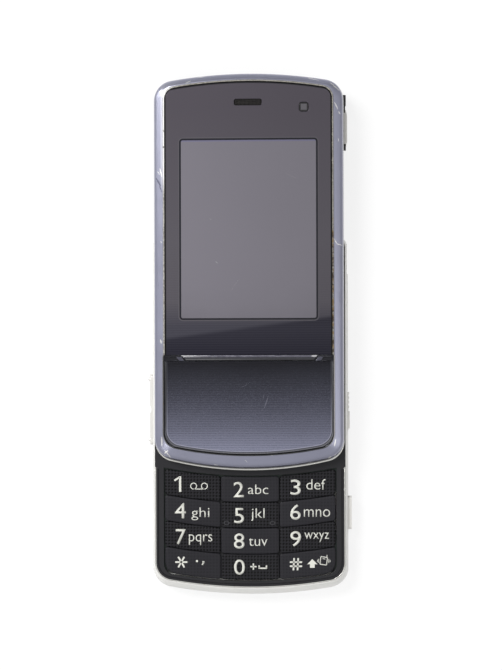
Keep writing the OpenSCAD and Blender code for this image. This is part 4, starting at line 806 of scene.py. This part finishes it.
def arc_points(centre, radius, start, end, steps):
    """Points of an arc without its last one, angles in degrees."""
    turns = [math.radians(start + (end - start) * i / steps) for i in range(steps)]
    return [(centre[0] + radius * math.cos(t), centre[1] + radius * math.sin(t)) for t in turns]


CORNER_STEPS, END_STEPS = 10, 36


def arched_outline(half, y0, y1, r0, r1, end0, end1, stations):
    """Outline of a half of the phone: arched ends, round corners, and stations up its right side."""
    x0, x1 = half - r0, half - r1
    a0, a1 = math.degrees(math.acos(x0 / (end0 - r0))), math.degrees(math.acos(x1 / (end1 - r1)))
    c0 = y0 + end0 - math.sqrt((end0 - r0) ** 2 - x0**2)
    c1 = y1 - end1 + math.sqrt((end1 - r1) ** 2 - x1**2)
    points = [(half, c0), *stations]
    points += arc_points((x1, c1), r1, 0, a1, CORNER_STEPS)
    points += arc_points((0, y1 - end1), end1, a1, 180 - a1, END_STEPS)
    points += arc_points((-x1, c1), r1, 180 - a1, 180, CORNER_STEPS)
    points += [(-half, c1)] + [(-x, y) for x, y in reversed(stations)]
    points += arc_points((-x0, c0), r0, 180, 180 + a0, CORNER_STEPS)
    points += arc_points((0, y0 + end0), end0, 180 + a0, 360 - a0, END_STEPS)
    points += arc_points((x0, c0), r0, 360 - a0, 360, CORNER_STEPS)
    return points


def swept(outlines):
    """Extrudes the first outline through the others and back to itself: a closed band in millimetres."""
    bm = bmesh.new()
    points, z = outlines[0]
    ring = [bm.verts.new((x * MM, y * MM, z * MM)) for x, y in points]
    edges = [bm.edges.new(pair) for pair in zip(ring, ring[1:] + ring[:1])]
    for points, z in outlines[1:] + outlines[:1]:
        grown = bmesh.ops.extrude_edge_only(bm, edges=edges)["geom"]
        fresh = {g for g in grown if isinstance(g, bmesh.types.BMVert)}
        edges = [g for g in grown if isinstance(g, bmesh.types.BMEdge) and fresh.issuperset(g.verts)]
        ring = [next(e.other_vert(v) for e in v.link_edges if e.other_vert(v) in fresh) for v in ring]
        for vert, (x, y) in zip(ring, points):
            vert.co = (x * MM, y * MM, z * MM)
    bmesh.ops.remove_doubles(bm, verts=bm.verts, dist=0.0001 * MM)
    bmesh.ops.recalc_face_normals(bm, faces=bm.faces)
    return bm


def eased(levels, count):
    """Points along a smooth curve through the levels of a section."""
    result = []
    last = len(levels) - 1
    for i in range(count):
        t = i / (count - 1) * last
        k = min(int(t), last - 1)
        u = t - k
        before, a, b, after = (levels[max(0, min(last, k + j))] for j in (-1, 0, 1, 2))
        result.append([
            0.5 * (2 * q + (r - p) * u + (2 * p - 5 * q + 4 * r - s) * u * u + (3 * q - p - 3 * r + s) * u**3)
            for p, q, r, s in zip(before, a, b, after)
        ])
    return result


# The upper half's outline and the openings in its rim, in millimetres. A level of the rim is its
# height and how far it draws in at the sides, the foot and the head; the others are the
# distance out from the opening and the height.
UPPER = {"half": 24.0, "y0": -14.55, "y1": 85.65, "corner": 5.2, "chin": 86.0, "end": 118.0}
GLASS_LOW = 14.45
RIM_LEVELS = (
    (7.6, 0.12, 0.0, 0.1), (7.9, 0.0, 0.06, 0.0), (9.1, 0.0, 0.32, 0.0), (9.9, 0.08, 0.52, 0.05),
    (10.45, 0.3, 0.95, 0.2), (10.8, 0.75, 1.6, 0.5), (11.1, 1.32, 2.3, 0.85), (11.35, 1.85, 2.9, 1.15),
    (11.52, 2.24, 3.34, 1.45),
)
LIP_LEVELS = ((0.46, 11.6), (0.41, 11.6), (0.38, 11.54), (0.38, 10.95))
EDGE_LINE_LEVELS = ((0.37, 11.2), (0.37, 11.58), (0.3, 11.65), (0.08, 11.65), (0.0, 11.58), (0.0, 11.2))


def rim_outline(side, bottom, top):
    half, corner = UPPER["half"] - side, max(0.8, UPPER["corner"] - side)
    return arched_outline(
        half, UPPER["y0"] + bottom, UPPER["y1"] - top, corner, corner, UPPER["chin"], UPPER["end"],
        [(half, GLASS_LOW - 0.1), (half, GLASS_LOW + 0.1)],
    )


def opening_outline(grow):
    """Opening for the touch plate below and for the slightly narrower glass above."""
    wide, narrow = 21.52 + grow * 0.6, 21.2 + grow
    turn = [(wide, GLASS_LOW - 0.1), (narrow, GLASS_LOW + 0.1)]
    low = arched_outline(wide, -10.8 - grow * 0.6, 60, 3.7 + grow, 2.0, 94.0, 118.0, turn)
    high = arched_outline(narrow, -10.8, 83.58 + grow, 3.7, 2.9 + grow, 94.0, 115.8, turn)
    start = 1 + len(turn)
    end = start + 2 * CORNER_STEPS + END_STEPS + 1
    return low[:start] + high[start:end] + low[end:]


def make_rim():
    """Metallic band with a rounded outer edge, a broad slanting face and a fine lip round its openings."""
    rings = [(rim_outline(*level[1:]), level[0]) for level in eased(RIM_LEVELS, sizes().rim_rings)]
    rings += [(opening_outline(grow), z) for grow, z in LIP_LEVELS]
    rings.append((rim_outline(1.5, 1.5, 1.5), 7.62))
    placed(swept(rings), "rim", "rim", "upper_half", ("slider_bezel",), 50)


def make_edge_line():
    """Thin worn line between the rim's lip and the gap round the glass and touch plate."""
    bm = swept([(opening_outline(grow), z) for grow, z in EDGE_LINE_LEVELS])
    placed(bm, "glass_edge_line", "worn_line", "upper_half", smooth=40)


def prism(bm, corners, z0, z1):
    """Straight-sided block over flat corners, in millimetres. Returns its vertices."""
    face = bm.faces.new([bm.verts.new((x * MM, y * MM, z0 * MM)) for x, y in corners])
    grown = bmesh.ops.extrude_face_region(bm, geom=[face])["geom"]
    top = [v for v in grown if isinstance(v, bmesh.types.BMVert)]
    bmesh.ops.translate(bm, verts=top, vec=(0, 0, (z1 - z0) * MM))
    return list(face.verts) + top


# The step's bar and its end facets, in millimetres. A fold is a place up the bar and its top's height there.
BAR_PLAN = ((-15.7, 13.1), (16.4, 13.1), (17.4, 14.38), (-16.95, 14.38))
BAR_FOLDS = ((13.95, 11.56), (13.5, 11.46), (13.1, 11.3))
FACET_PLANS = (
    ((-18.45, 14.15), (-17.5, 12.98), (-16.35, 12.98), (-17.1, 14.2)),
    ((16.9, 13.0), (18.3, 13.0), (19.0, 14.25), (17.75, 14.25)),
)


def make_step():
    """Bright bar along the step between glass and touch plate, with a slanting facet at each end."""
    bm = bmesh.new()
    prism(bm, BAR_PLAN, 11.1, 11.66)
    for y, _ in BAR_FOLDS[:2]:
        everything = bm.verts[:] + bm.edges[:] + bm.faces[:]
        bmesh.ops.bisect_plane(bm, geom=everything, plane_co=(0, y * MM, 0), plane_no=(0, 1, 0))
    for v in bm.verts:
        if v.co.z > 11.4 * MM and v.co.y < 14.2 * MM:
            v.co.z = min(BAR_FOLDS, key=lambda fold: abs(fold[0] * MM - v.co.y))[1] * MM
    bmesh.ops.recalc_face_normals(bm, faces=bm.faces)
    bar = placed(bm, "step_bar", "step_bar", "upper_half", smooth=20)
    rounded_edges(bar, 0.04 * MM, 2, 25)
    bm = bmesh.new()
    for corners in FACET_PLANS:
        for v in prism(bm, corners, 11.0, 11.3):
            if v.co.z > 11.2 * MM:
                v.co.z = (11.6 if v.co.y > 13.6 * MM else 11.22) * MM
    bmesh.ops.bevel(
        bm, geom=bm.edges[:], offset=0.07 * MM, segments=2, profile=0.5, affect="EDGES", material=-1
    )
    bmesh.ops.recalc_face_normals(bm, faces=bm.faces)
    placed(bm, "step_facets", "step_facet", "upper_half", smooth=40)


# Digits: middle and width. Letters: word, middle, width and height. In millimetres.
DIGITS = {
    "2": (-2.9, -19.8, 2.6), "3": (11.6, -19.2, 2.62), "4": (-17.8, -25.2, 2.82), "5": (-2.8, -26.45, 2.5),
    "6": (11.55, -25.5, 2.67), "7": (-17.7, -31.85, 2.56), "8": (-2.8, -32.9, 2.67), "9": (11.6, -32.3, 2.74),
    "0": (-2.75, -39.55, 2.74),
}
LETTERS = {
    "2": ("abc", 2.06, -19.74, 5.18, 2.46), "3": ("def", 16.78, -18.48, 4.87, 2.67),
    "4": ("ghi", -12.67, -26.0, 4.62, 3.28), "5": ("jkl", 1.98, -26.2, 3.44, 3.28),
    "6": ("mno", 17.03, -25.76, 6.67, 1.95), "7": ("pqrs", -12.64, -32.58, 6.0, 2.72),
    "8": ("tuv", 2.03, -33.13, 4.77, 2.05), "9": ("wxyz", 16.95, -31.9, 6.26, 2.41),
}
LEGEND_Z = 6.222
DIGIT_WEIGHT, LETTER_WEIGHT = 0.003, -0.006
BUMP_LIFT = 0.00004


def lettering(text, weight):
    """Mesh of a word, drawn flat with its strokes thickened by weight."""
    curve = bpy.data.curves.new("legend draft", "FONT")
    curve.body = text
    curve.size = 1.0
    curve.offset = weight
    curve.resolution_u = 4
    curve.fill_mode = "FRONT"
    drafted = bpy.data.objects.new("legend draft", curve)
    bpy.context.scene.collection.objects.link(drafted)
    bpy.context.view_layer.update()
    graph = bpy.context.evaluated_depsgraph_get()
    mesh = bpy.data.meshes.new_from_object(drafted.evaluated_get(graph))
    bpy.data.objects.remove(drafted)
    bpy.data.curves.remove(curve)
    return mesh


def stamped(bm, mesh, middle, width, height):
    """Adds a drawn word to a bmesh, scaled to its width and height and centred, in millimetres."""
    xs, ys = [v.co.x for v in mesh.vertices], [v.co.y for v in mesh.vertices]
    wide, tall = max(xs) - min(xs), max(ys) - min(ys)
    centre = Vector((max(xs) + min(xs), max(ys) + min(ys), 0)) / 2
    scale = Matrix.Diagonal((width / wide * MM, height / tall * MM, 1, 1))
    place = Matrix.Translation((middle[0] * MM, middle[1] * MM, LEGEND_Z * MM))
    mesh.transform(place @ scale @ Matrix.Translation(-centre))
    bm.from_mesh(mesh)
    bpy.data.meshes.remove(mesh)


def stroke(bm, x0, y0, x1, y1, width):
    """Flat bar between two points."""
    along = Vector((x1 - x0, y1 - y0)).normalized()
    side = Vector((-along.y, along.x)) * width / 2
    start, end = Vector((x0, y0)), Vector((x1, y1))
    corners = (start - side, end - side, end + side, start + side)
    bm.faces.new([bm.verts.new((c.x * MM, c.y * MM, LEGEND_Z * MM)) for c in corners])


def ring(bm, x, y, radius, width):
    """Flat ring round a point."""
    place = Matrix.Translation((x * MM, y * MM, LEGEND_Z * MM))
    made = bmesh.ops.create_circle(
        bm, cap_ends=True, radius=(radius + width / 2) * MM, segments=28, matrix=place
    )
    disc = list({f for v in made["verts"] for f in v.link_faces})
    bmesh.ops.inset_region(bm, faces=disc, thickness=width * MM, depth=0, use_boundary=True)
    bmesh.ops.delete(bm, geom=disc, context="FACES_ONLY")


def outline(bm, corners, width):
    """Bars round a closed figure."""
    for (xa, ya), (xb, yb) in zip(corners, corners[1:] + corners[:1]):
        stroke(bm, xa, ya, xb, yb, width)


def handset(bm, x, y):
    """Small sign of a ringing handset: its case, earpiece and aerial, and two waves on each side."""
    lean = Matrix.Rotation(math.radians(-8), 2)

    def leaned(*points):
        return [tuple(Vector((x, y)) + lean @ Vector(point)) for point in points]

    outline(bm, leaned((-0.85, -1.05), (0.85, -1.05), (0.85, 0.9), (-0.85, 0.9)), 0.19)
    for (start, end), width in (
        (leaned((-0.35, 0.42), (0.35, 0.42)), 0.16), (leaned((0.66, 0.9), (0.66, 1.5)), 0.2)
    ):
        stroke(bm, *start, *end, width)
    for side in (-1, 1):
        for reach, half in ((1.28, 0.5), (1.6, 0.3)):
            stroke(bm, x + side * reach, y - 0.1 - half, x + side * reach, y - 0.1 + half, 0.14)


# Bars by their two ends and width, rings by their middle, radius and width, in millimetres.
SIGN_BARS = {
    "1": ((-17.85, -20.4, -17.85, -16.45, 0.55), (-19.3, -17.55, -18.0, -16.68, 0.45),
          (-14.4, -19.69, -11.65, -19.69, 0.21)),
    "star": ((-13.85, -38.05, -13.35, -38.05, 0.5), (-11.95, -38.05, -11.95, -38.45, 0.5),
             (-11.85, -38.3, -12.3, -39.0, 0.3)),
    "0": ((0.0, -39.4, 1.6, -39.4, 0.34), (0.8, -40.2, 0.8, -38.6, 0.34), (2.1, -39.8, 4.3, -39.8, 0.34),
          (2.27, -39.8, 2.27, -39.1, 0.34), (4.13, -39.8, 4.13, -39.1, 0.34)),
    "hash": ((10.98, -40.3, 11.18, -37.2, 0.42), (12.02, -40.3, 12.22, -37.2, 0.42),
             (10.1, -39.27, 13.2, -39.27, 0.42), (10.1, -38.23, 13.2, -38.23, 0.42)),
}
SIGN_RINGS = {"1": ((-14.4, -18.93, 0.76, 0.21), (-11.65, -18.93, 0.76, 0.21))}
ARROW = (
    (14.5, -38.75), (15.8, -37.45), (17.1, -38.75), (16.4, -38.75), (16.4, -39.65), (15.2, -39.65),
    (15.2, -38.75),
)


def signs(bm, key):
    """The figure 1, and the signs on 1, star, 0 and hash."""
    for bar in SIGN_BARS.get(key, ()):
        stroke(bm, *bar)
    for circle in SIGN_RINGS.get(key, ()):
        ring(bm, *circle)
    if key == "star":
        for turn in (0, 60, 120):
            dx, dy = 1.55 * math.cos(math.radians(turn)), 1.55 * math.sin(math.radians(turn))
            stroke(bm, -17.6 - dx, -38.3 - dy, -17.6 + dx, -38.3 + dy, 0.42)
    if key == "hash":
        bm.faces.new([bm.verts.new((x * MM, y * MM, LEGEND_Z * MM)) for x, y in reversed(ARROW)])
        handset(bm, 18.7, -37.8)


def raised_faces(bm, lift):
    """Turns flat figures upwards, lifts them and gives them a thickness that ends below the key's top."""
    for face in bm.faces:
        face.normal_update()
        if face.normal.z < 0:
            face.normal_flip()
    grown = bmesh.ops.extrude_face_region(bm, geom=bm.faces[:], use_keep_orig=True)["geom"]
    upper = {v for v in grown if isinstance(v, bmesh.types.BMVert)}
    bmesh.ops.translate(bm, verts=list(upper), vec=(0, 0, lift))
    lower = [v for v in bm.verts if v not in upper]
    bmesh.ops.translate(bm, verts=lower, vec=(0, 0, -3 * sizes().ink))
    bmesh.ops.recalc_face_normals(bm, faces=bm.faces)


def make_legend(key):
    bm = bmesh.new()
    if key in DIGITS:
        x, y, width = DIGITS[key]
        stamped(bm, lettering(key, DIGIT_WEIGHT), (x, y), width, sizes().digit_height / MM)
    if key in LETTERS:
        word, x, y, width, height = LETTERS[key]
        stamped(bm, lettering(word, LETTER_WEIGHT), (x, y), width, height)
    signs(bm, key)
    raised_faces(bm, 0.0)
    placed(bm, "legend_" + key, "legend", "key_" + key)


def make_bumps():
    """Two small oval rings moulded on the middle key, to find it by touch."""
    bm = bmesh.new()
    for x in (-5.99, 5.7):
        ring(bm, x, -28.3, 0.62, 0.22)
    bmesh.ops.scale(bm, verts=bm.verts, vec=(1.0, 0.68, 1.0), space=Matrix.Translation((0, 28.3 * MM, 0)))
    raised_faces(bm, BUMP_LIFT)
    placed(bm, "key_5_bumps", "key_bump", "key_5")


# ---- Operators --------------------------------------------------------------------------------

# Name, place and width in metres, and watts.
LAMPS = (
    ("key lamp", (-0.5, 0.52, 0.95), 0.5, 9.0), ("fill lamp", (0.73, -0.26, 0.9), 0.8, 2.6),
    ("side card", (-0.66, 0.38, 0.42), 0.42, 2.35), ("low card", (-0.52, -0.5, 0.75), 0.34, 1.3),
)
# In metres: the floor is a hair below the phone's back.
FLOOR_LEVEL, FLOOR_HALF, FLOOR_GLOW = -0.0002, 3.0, 0.78
SKY_LEVELS = ((0.0, 0.3), (0.35, 0.46), (0.75, 0.7))
# Degrees and metres; the focal length is in pixels of the photo.
CAMERA = {"turn": 3.25, "tilt": 0.24, "roll": -0.15, "away": 0.567, "aim": (0.00045, 0.01951, 0.008)}
FOCAL_PIXELS, PHOTO_HEIGHT = 2235, 670


class PHONE_OT_stage(Operator):
    """Floor, lamps, backdrop light and the camera"""

    bl_idname = "phone.stage"
    bl_label = "Stage and camera"

    def execute(self, context):
        bm = bmesh.new()
        bmesh.ops.create_grid(bm, x_segments=1, y_segments=1, size=FLOOR_HALF)
        mesh = bpy.data.meshes.new("floor")
        bm.to_mesh(mesh)
        bm.free()
        mesh.transform(Matrix.Translation((0, 0, FLOOR_LEVEL)))
        floor = bpy.data.objects.new("floor", mesh)
        context.scene.collection.objects.link(floor)
        mesh.materials.append(self.floor_material())
        self.backdrop_light(context.scene)
        for lamp in LAMPS:
            self.lamp(context.scene, *lamp)
        self.camera(context.scene)
        return {"FINISHED"}

    def floor_material(self):
        graph = finish("pale floor", (0.86, 0.86, 0.86), 0.9)
        rays = graph.outputs("ShaderNodeLightPath")
        seen = graph.largest(rays["Is Camera Ray"], rays["Is Glossy Ray"], rays["Is Transmission Ray"])
        glow = graph.value("ShaderNodeEmission", {"Color": (1, 1, 1), "Strength": 1.0})
        plain = Wire(graph, graph.shader.outputs[0])
        lit = graph.value("ShaderNodeMixShader", {0: seen * FLOOR_GLOW, 1: plain, 2: glow})
        # from below the floor is clear, and light from below reaches the phone's back through it
        under = inside_box(graph, graph.millimetres(), (0.0, 19.5), (24.0, 66.0), 4.0).step(0.5, -0.5)
        back = graph.value("ShaderNodeNewGeometry", out="Backfacing")
        clear = graph.largest(back, under * (1.0 - seen))
        nothing = graph.value("ShaderNodeBsdfTransparent")
        surface = graph.value("ShaderNodeMixShader", {0: clear, 1: lit, 2: nothing})
        graph.put(graph.tree.nodes["Material Output"].inputs["Surface"], surface)
        return graph.material

    def backdrop_light(self, scene):
        world = bpy.data.worlds.new("plain studio")
        world.use_nodes = True
        graph = Graph(world.node_tree)
        rays = graph.outputs("ShaderNodeLightPath")
        seen = graph.largest(rays["Is Camera Ray"], rays["Is Transmission Ray"])
        toward = graph.split(graph.value("ShaderNodeTexCoord", out="Generated"))
        lift = graph.ramp(toward[2], [(at, (level,) * 3) for at, level in SKY_LEVELS])
        strength = lift * (1.0 - toward[1].step(0.3, 0.9) * 0.5) + toward[2].step(-0.05, -0.3) * 0.5
        back = world.node_tree.nodes["Background"].inputs
        graph.put(back["Color"], (1, 1, 1))
        graph.put(back["Strength"], graph.largest(strength, seen))
        scene.world = world

    def lamp(self, scene, name, place, size, power):
        data = bpy.data.lights.new(name, "AREA")
        data.shape = "DISK"
        data.size = size
        data.energy = power
        lamp = bpy.data.objects.new(name, data)
        lamp.location = place
        aim = Vector((0, 0.02, 0)) - Vector(place)
        lamp.rotation_euler = aim.to_track_quat("-Z", "Y").to_euler()
        scene.collection.objects.link(lamp)

    def camera(self, scene):
        data = bpy.data.cameras.new("camera")
        data.sensor_fit = "VERTICAL"
        data.lens = FOCAL_PIXELS / PHOTO_HEIGHT * data.sensor_height
        data.clip_start = 0.01
        camera = bpy.data.objects.new("camera", data)
        turn, tilt, roll = (math.radians(CAMERA[part]) for part in ("turn", "tilt", "roll"))
        out = Vector((math.sin(turn) * math.cos(tilt), -math.sin(tilt), math.cos(turn) * math.cos(tilt)))
        right = Vector((0, 1, 0)).cross(out).normalized()
        above = out.cross(right)
        axes = Matrix((right, above, out)).transposed().to_4x4()
        place = Matrix.Translation(Vector(CAMERA["aim"]) + out * CAMERA["away"])
        camera.matrix_world = place @ axes @ Matrix.Rotation(roll, 4, "Z")
        scene.collection.objects.link(camera)
        scene.camera = camera


class PHONE_OT_finishes(Operator):
    """Materials of every part, and the plain inner parts that keep their solids"""

    bl_idname = "phone.finishes"
    bl_label = "Finishes"

    def execute(self, context):
        make_groups()
        MATERIALS.update(make_materials())
        slots = {s["node"]: s["material_slot"] for s in frame["record"]["subparts"]}
        own = {"dome_sheet": "dome_film", "slider_rear_case": "back_shell", "earpiece_mesh": "ear_mesh"}
        for name, piece in frame["nodes"].items():
            chosen = own.get(name, slots[name])
            if chosen == "key_cap":
                chosen = "pitted_key" if name[4:] in PITTED_KEYS else "plain_key"
            for entry in piece.material_slots:
                entry.material = MATERIALS[chosen]
        return {"FINISHED"}


class PHONE_OT_lower_shell(Operator):
    """Silver tub, battery cover, black face and its bright line"""

    bl_idname = "phone.lower_shell"
    bl_label = "Lower shell"

    def execute(self, context):
        edge = sizes().edge
        dressed("rear_housing", "silver_shell", 0.0, 38)
        dressed("battery_cover", "silver_shell", edge * 0.6, 38)
        dressed("front_deck", "black_shell", edge, 30)
        dressed("keypad_trim", "bright_trim", edge * 0.5, 30)
        return {"FINISHED"}


class PHONE_OT_keys(Operator):
    """Twelve key caps with their printed legends"""

    bl_idname = "phone.keys"
    bl_label = "Keys"

    def execute(self, context):
        for key in KEYS:
            material = "pitted_key" if key in PITTED_KEYS else "plain_key"
            dressed("key_" + key, material, 0.0, 62)
            make_legend(key)
        make_bumps()
        return {"FINISHED"}


class PHONE_OT_side_parts(Operator):
    """Camera key, volume rocker, connector cover and strap bar"""

    bl_idname = "phone.side_parts"
    bl_label = "Side parts"

    def execute(self, context):
        edge = sizes().edge
        for node in ("camera_key", "volume_rocker", "port_cover", "strap_bar"):
            dressed(node, "side_key", edge * 1.5, 34)
        return {"FINISHED"}


class PHONE_OT_upper_shell(Operator):
    """Rear case, bright trim ring, rim and the worn line round its openings"""

    bl_idname = "phone.upper_shell"
    bl_label = "Upper shell"

    def execute(self, context):
        edge = sizes().edge
        dressed("slider_rear_case", "back_shell", 0.0, 36)
        dressed("slider_trim", "bright_trim", edge, 30)
        make_rim()
        make_edge_line()
        return {"FINISHED"}


class PHONE_OT_flexible_circuit(Operator):
    """Film that joins the halves' circuits"""

    bl_idname = "phone.flexible_circuit"
    bl_label = "Flexible circuit"

    def execute(self, context):
        make_flexible_circuit()
        return {"FINISHED"}


class PHONE_OT_front(Operator):
    """Screen glass, touch plate, step, earpiece mesh and lenses"""

    bl_idname = "phone.front"
    bl_label = "Front"

    def execute(self, context):
        dressed("screen_glass", "screen_glass", sizes().glass_edge, 30)
        dressed("touch_plate", "touch_metal", sizes().glass_edge, 30)
        dressed("touch_ledge", "step", sizes().edge, 30)
        make_step()
        dressed("earpiece_mesh", "ear_mesh", sizes().edge, 30)
        dressed("front_lens", "front_lens", sizes().edge, 30)
        dressed("camera_window", "lens", sizes().edge, 30)
        return {"FINISHED"}


class PHONE_PT_panel(Panel):
    """Lists the phone's pieces in the sidebar"""

    bl_label = "Slide phone"
    bl_idname = "PHONE_PT_panel"
    bl_space_type = "VIEW_3D"
    bl_region_type = "UI"
    bl_category = "Phone"

    def draw(self, context):
        for made in OPERATORS:
            self.layout.operator(made.bl_idname)
        for group in (context.scene.phone_sizes, context.scene.phone_colours):
            box = self.layout.box()
            for name in group.bl_rna.properties.keys():
                if name not in ("rna_type", "name"):
                    box.prop(group, name)


OPERATORS = (
    PHONE_OT_finishes, PHONE_OT_lower_shell, PHONE_OT_keys, PHONE_OT_side_parts, PHONE_OT_upper_shell,
    PHONE_OT_flexible_circuit, PHONE_OT_front, PHONE_OT_stage,
)
CLASSES = (PhoneSizes, PhoneColours, *OPERATORS, PHONE_PT_panel)


def register():
    for made in CLASSES:
        bpy.utils.register_class(made)
    bpy.types.Scene.phone_sizes = PointerProperty(type=PhoneSizes)
    bpy.types.Scene.phone_colours = PointerProperty(type=PhoneColours)


def unregister():
    del bpy.types.Scene.phone_colours
    del bpy.types.Scene.phone_sizes
    for made in reversed(CLASSES):
        bpy.utils.unregister_class(made)


def main():
    register()
    bpy.context.scene.view_settings.view_transform = "Standard"
    bpy.ops.phone.finishes()
    bpy.ops.phone.lower_shell()
    bpy.ops.phone.keys()
    bpy.ops.phone.side_parts()
    bpy.ops.phone.upper_shell()
    bpy.ops.phone.flexible_circuit()
    bpy.ops.phone.front()
    bpy.ops.phone.stage()


if __name__ == "__main__":
    main()
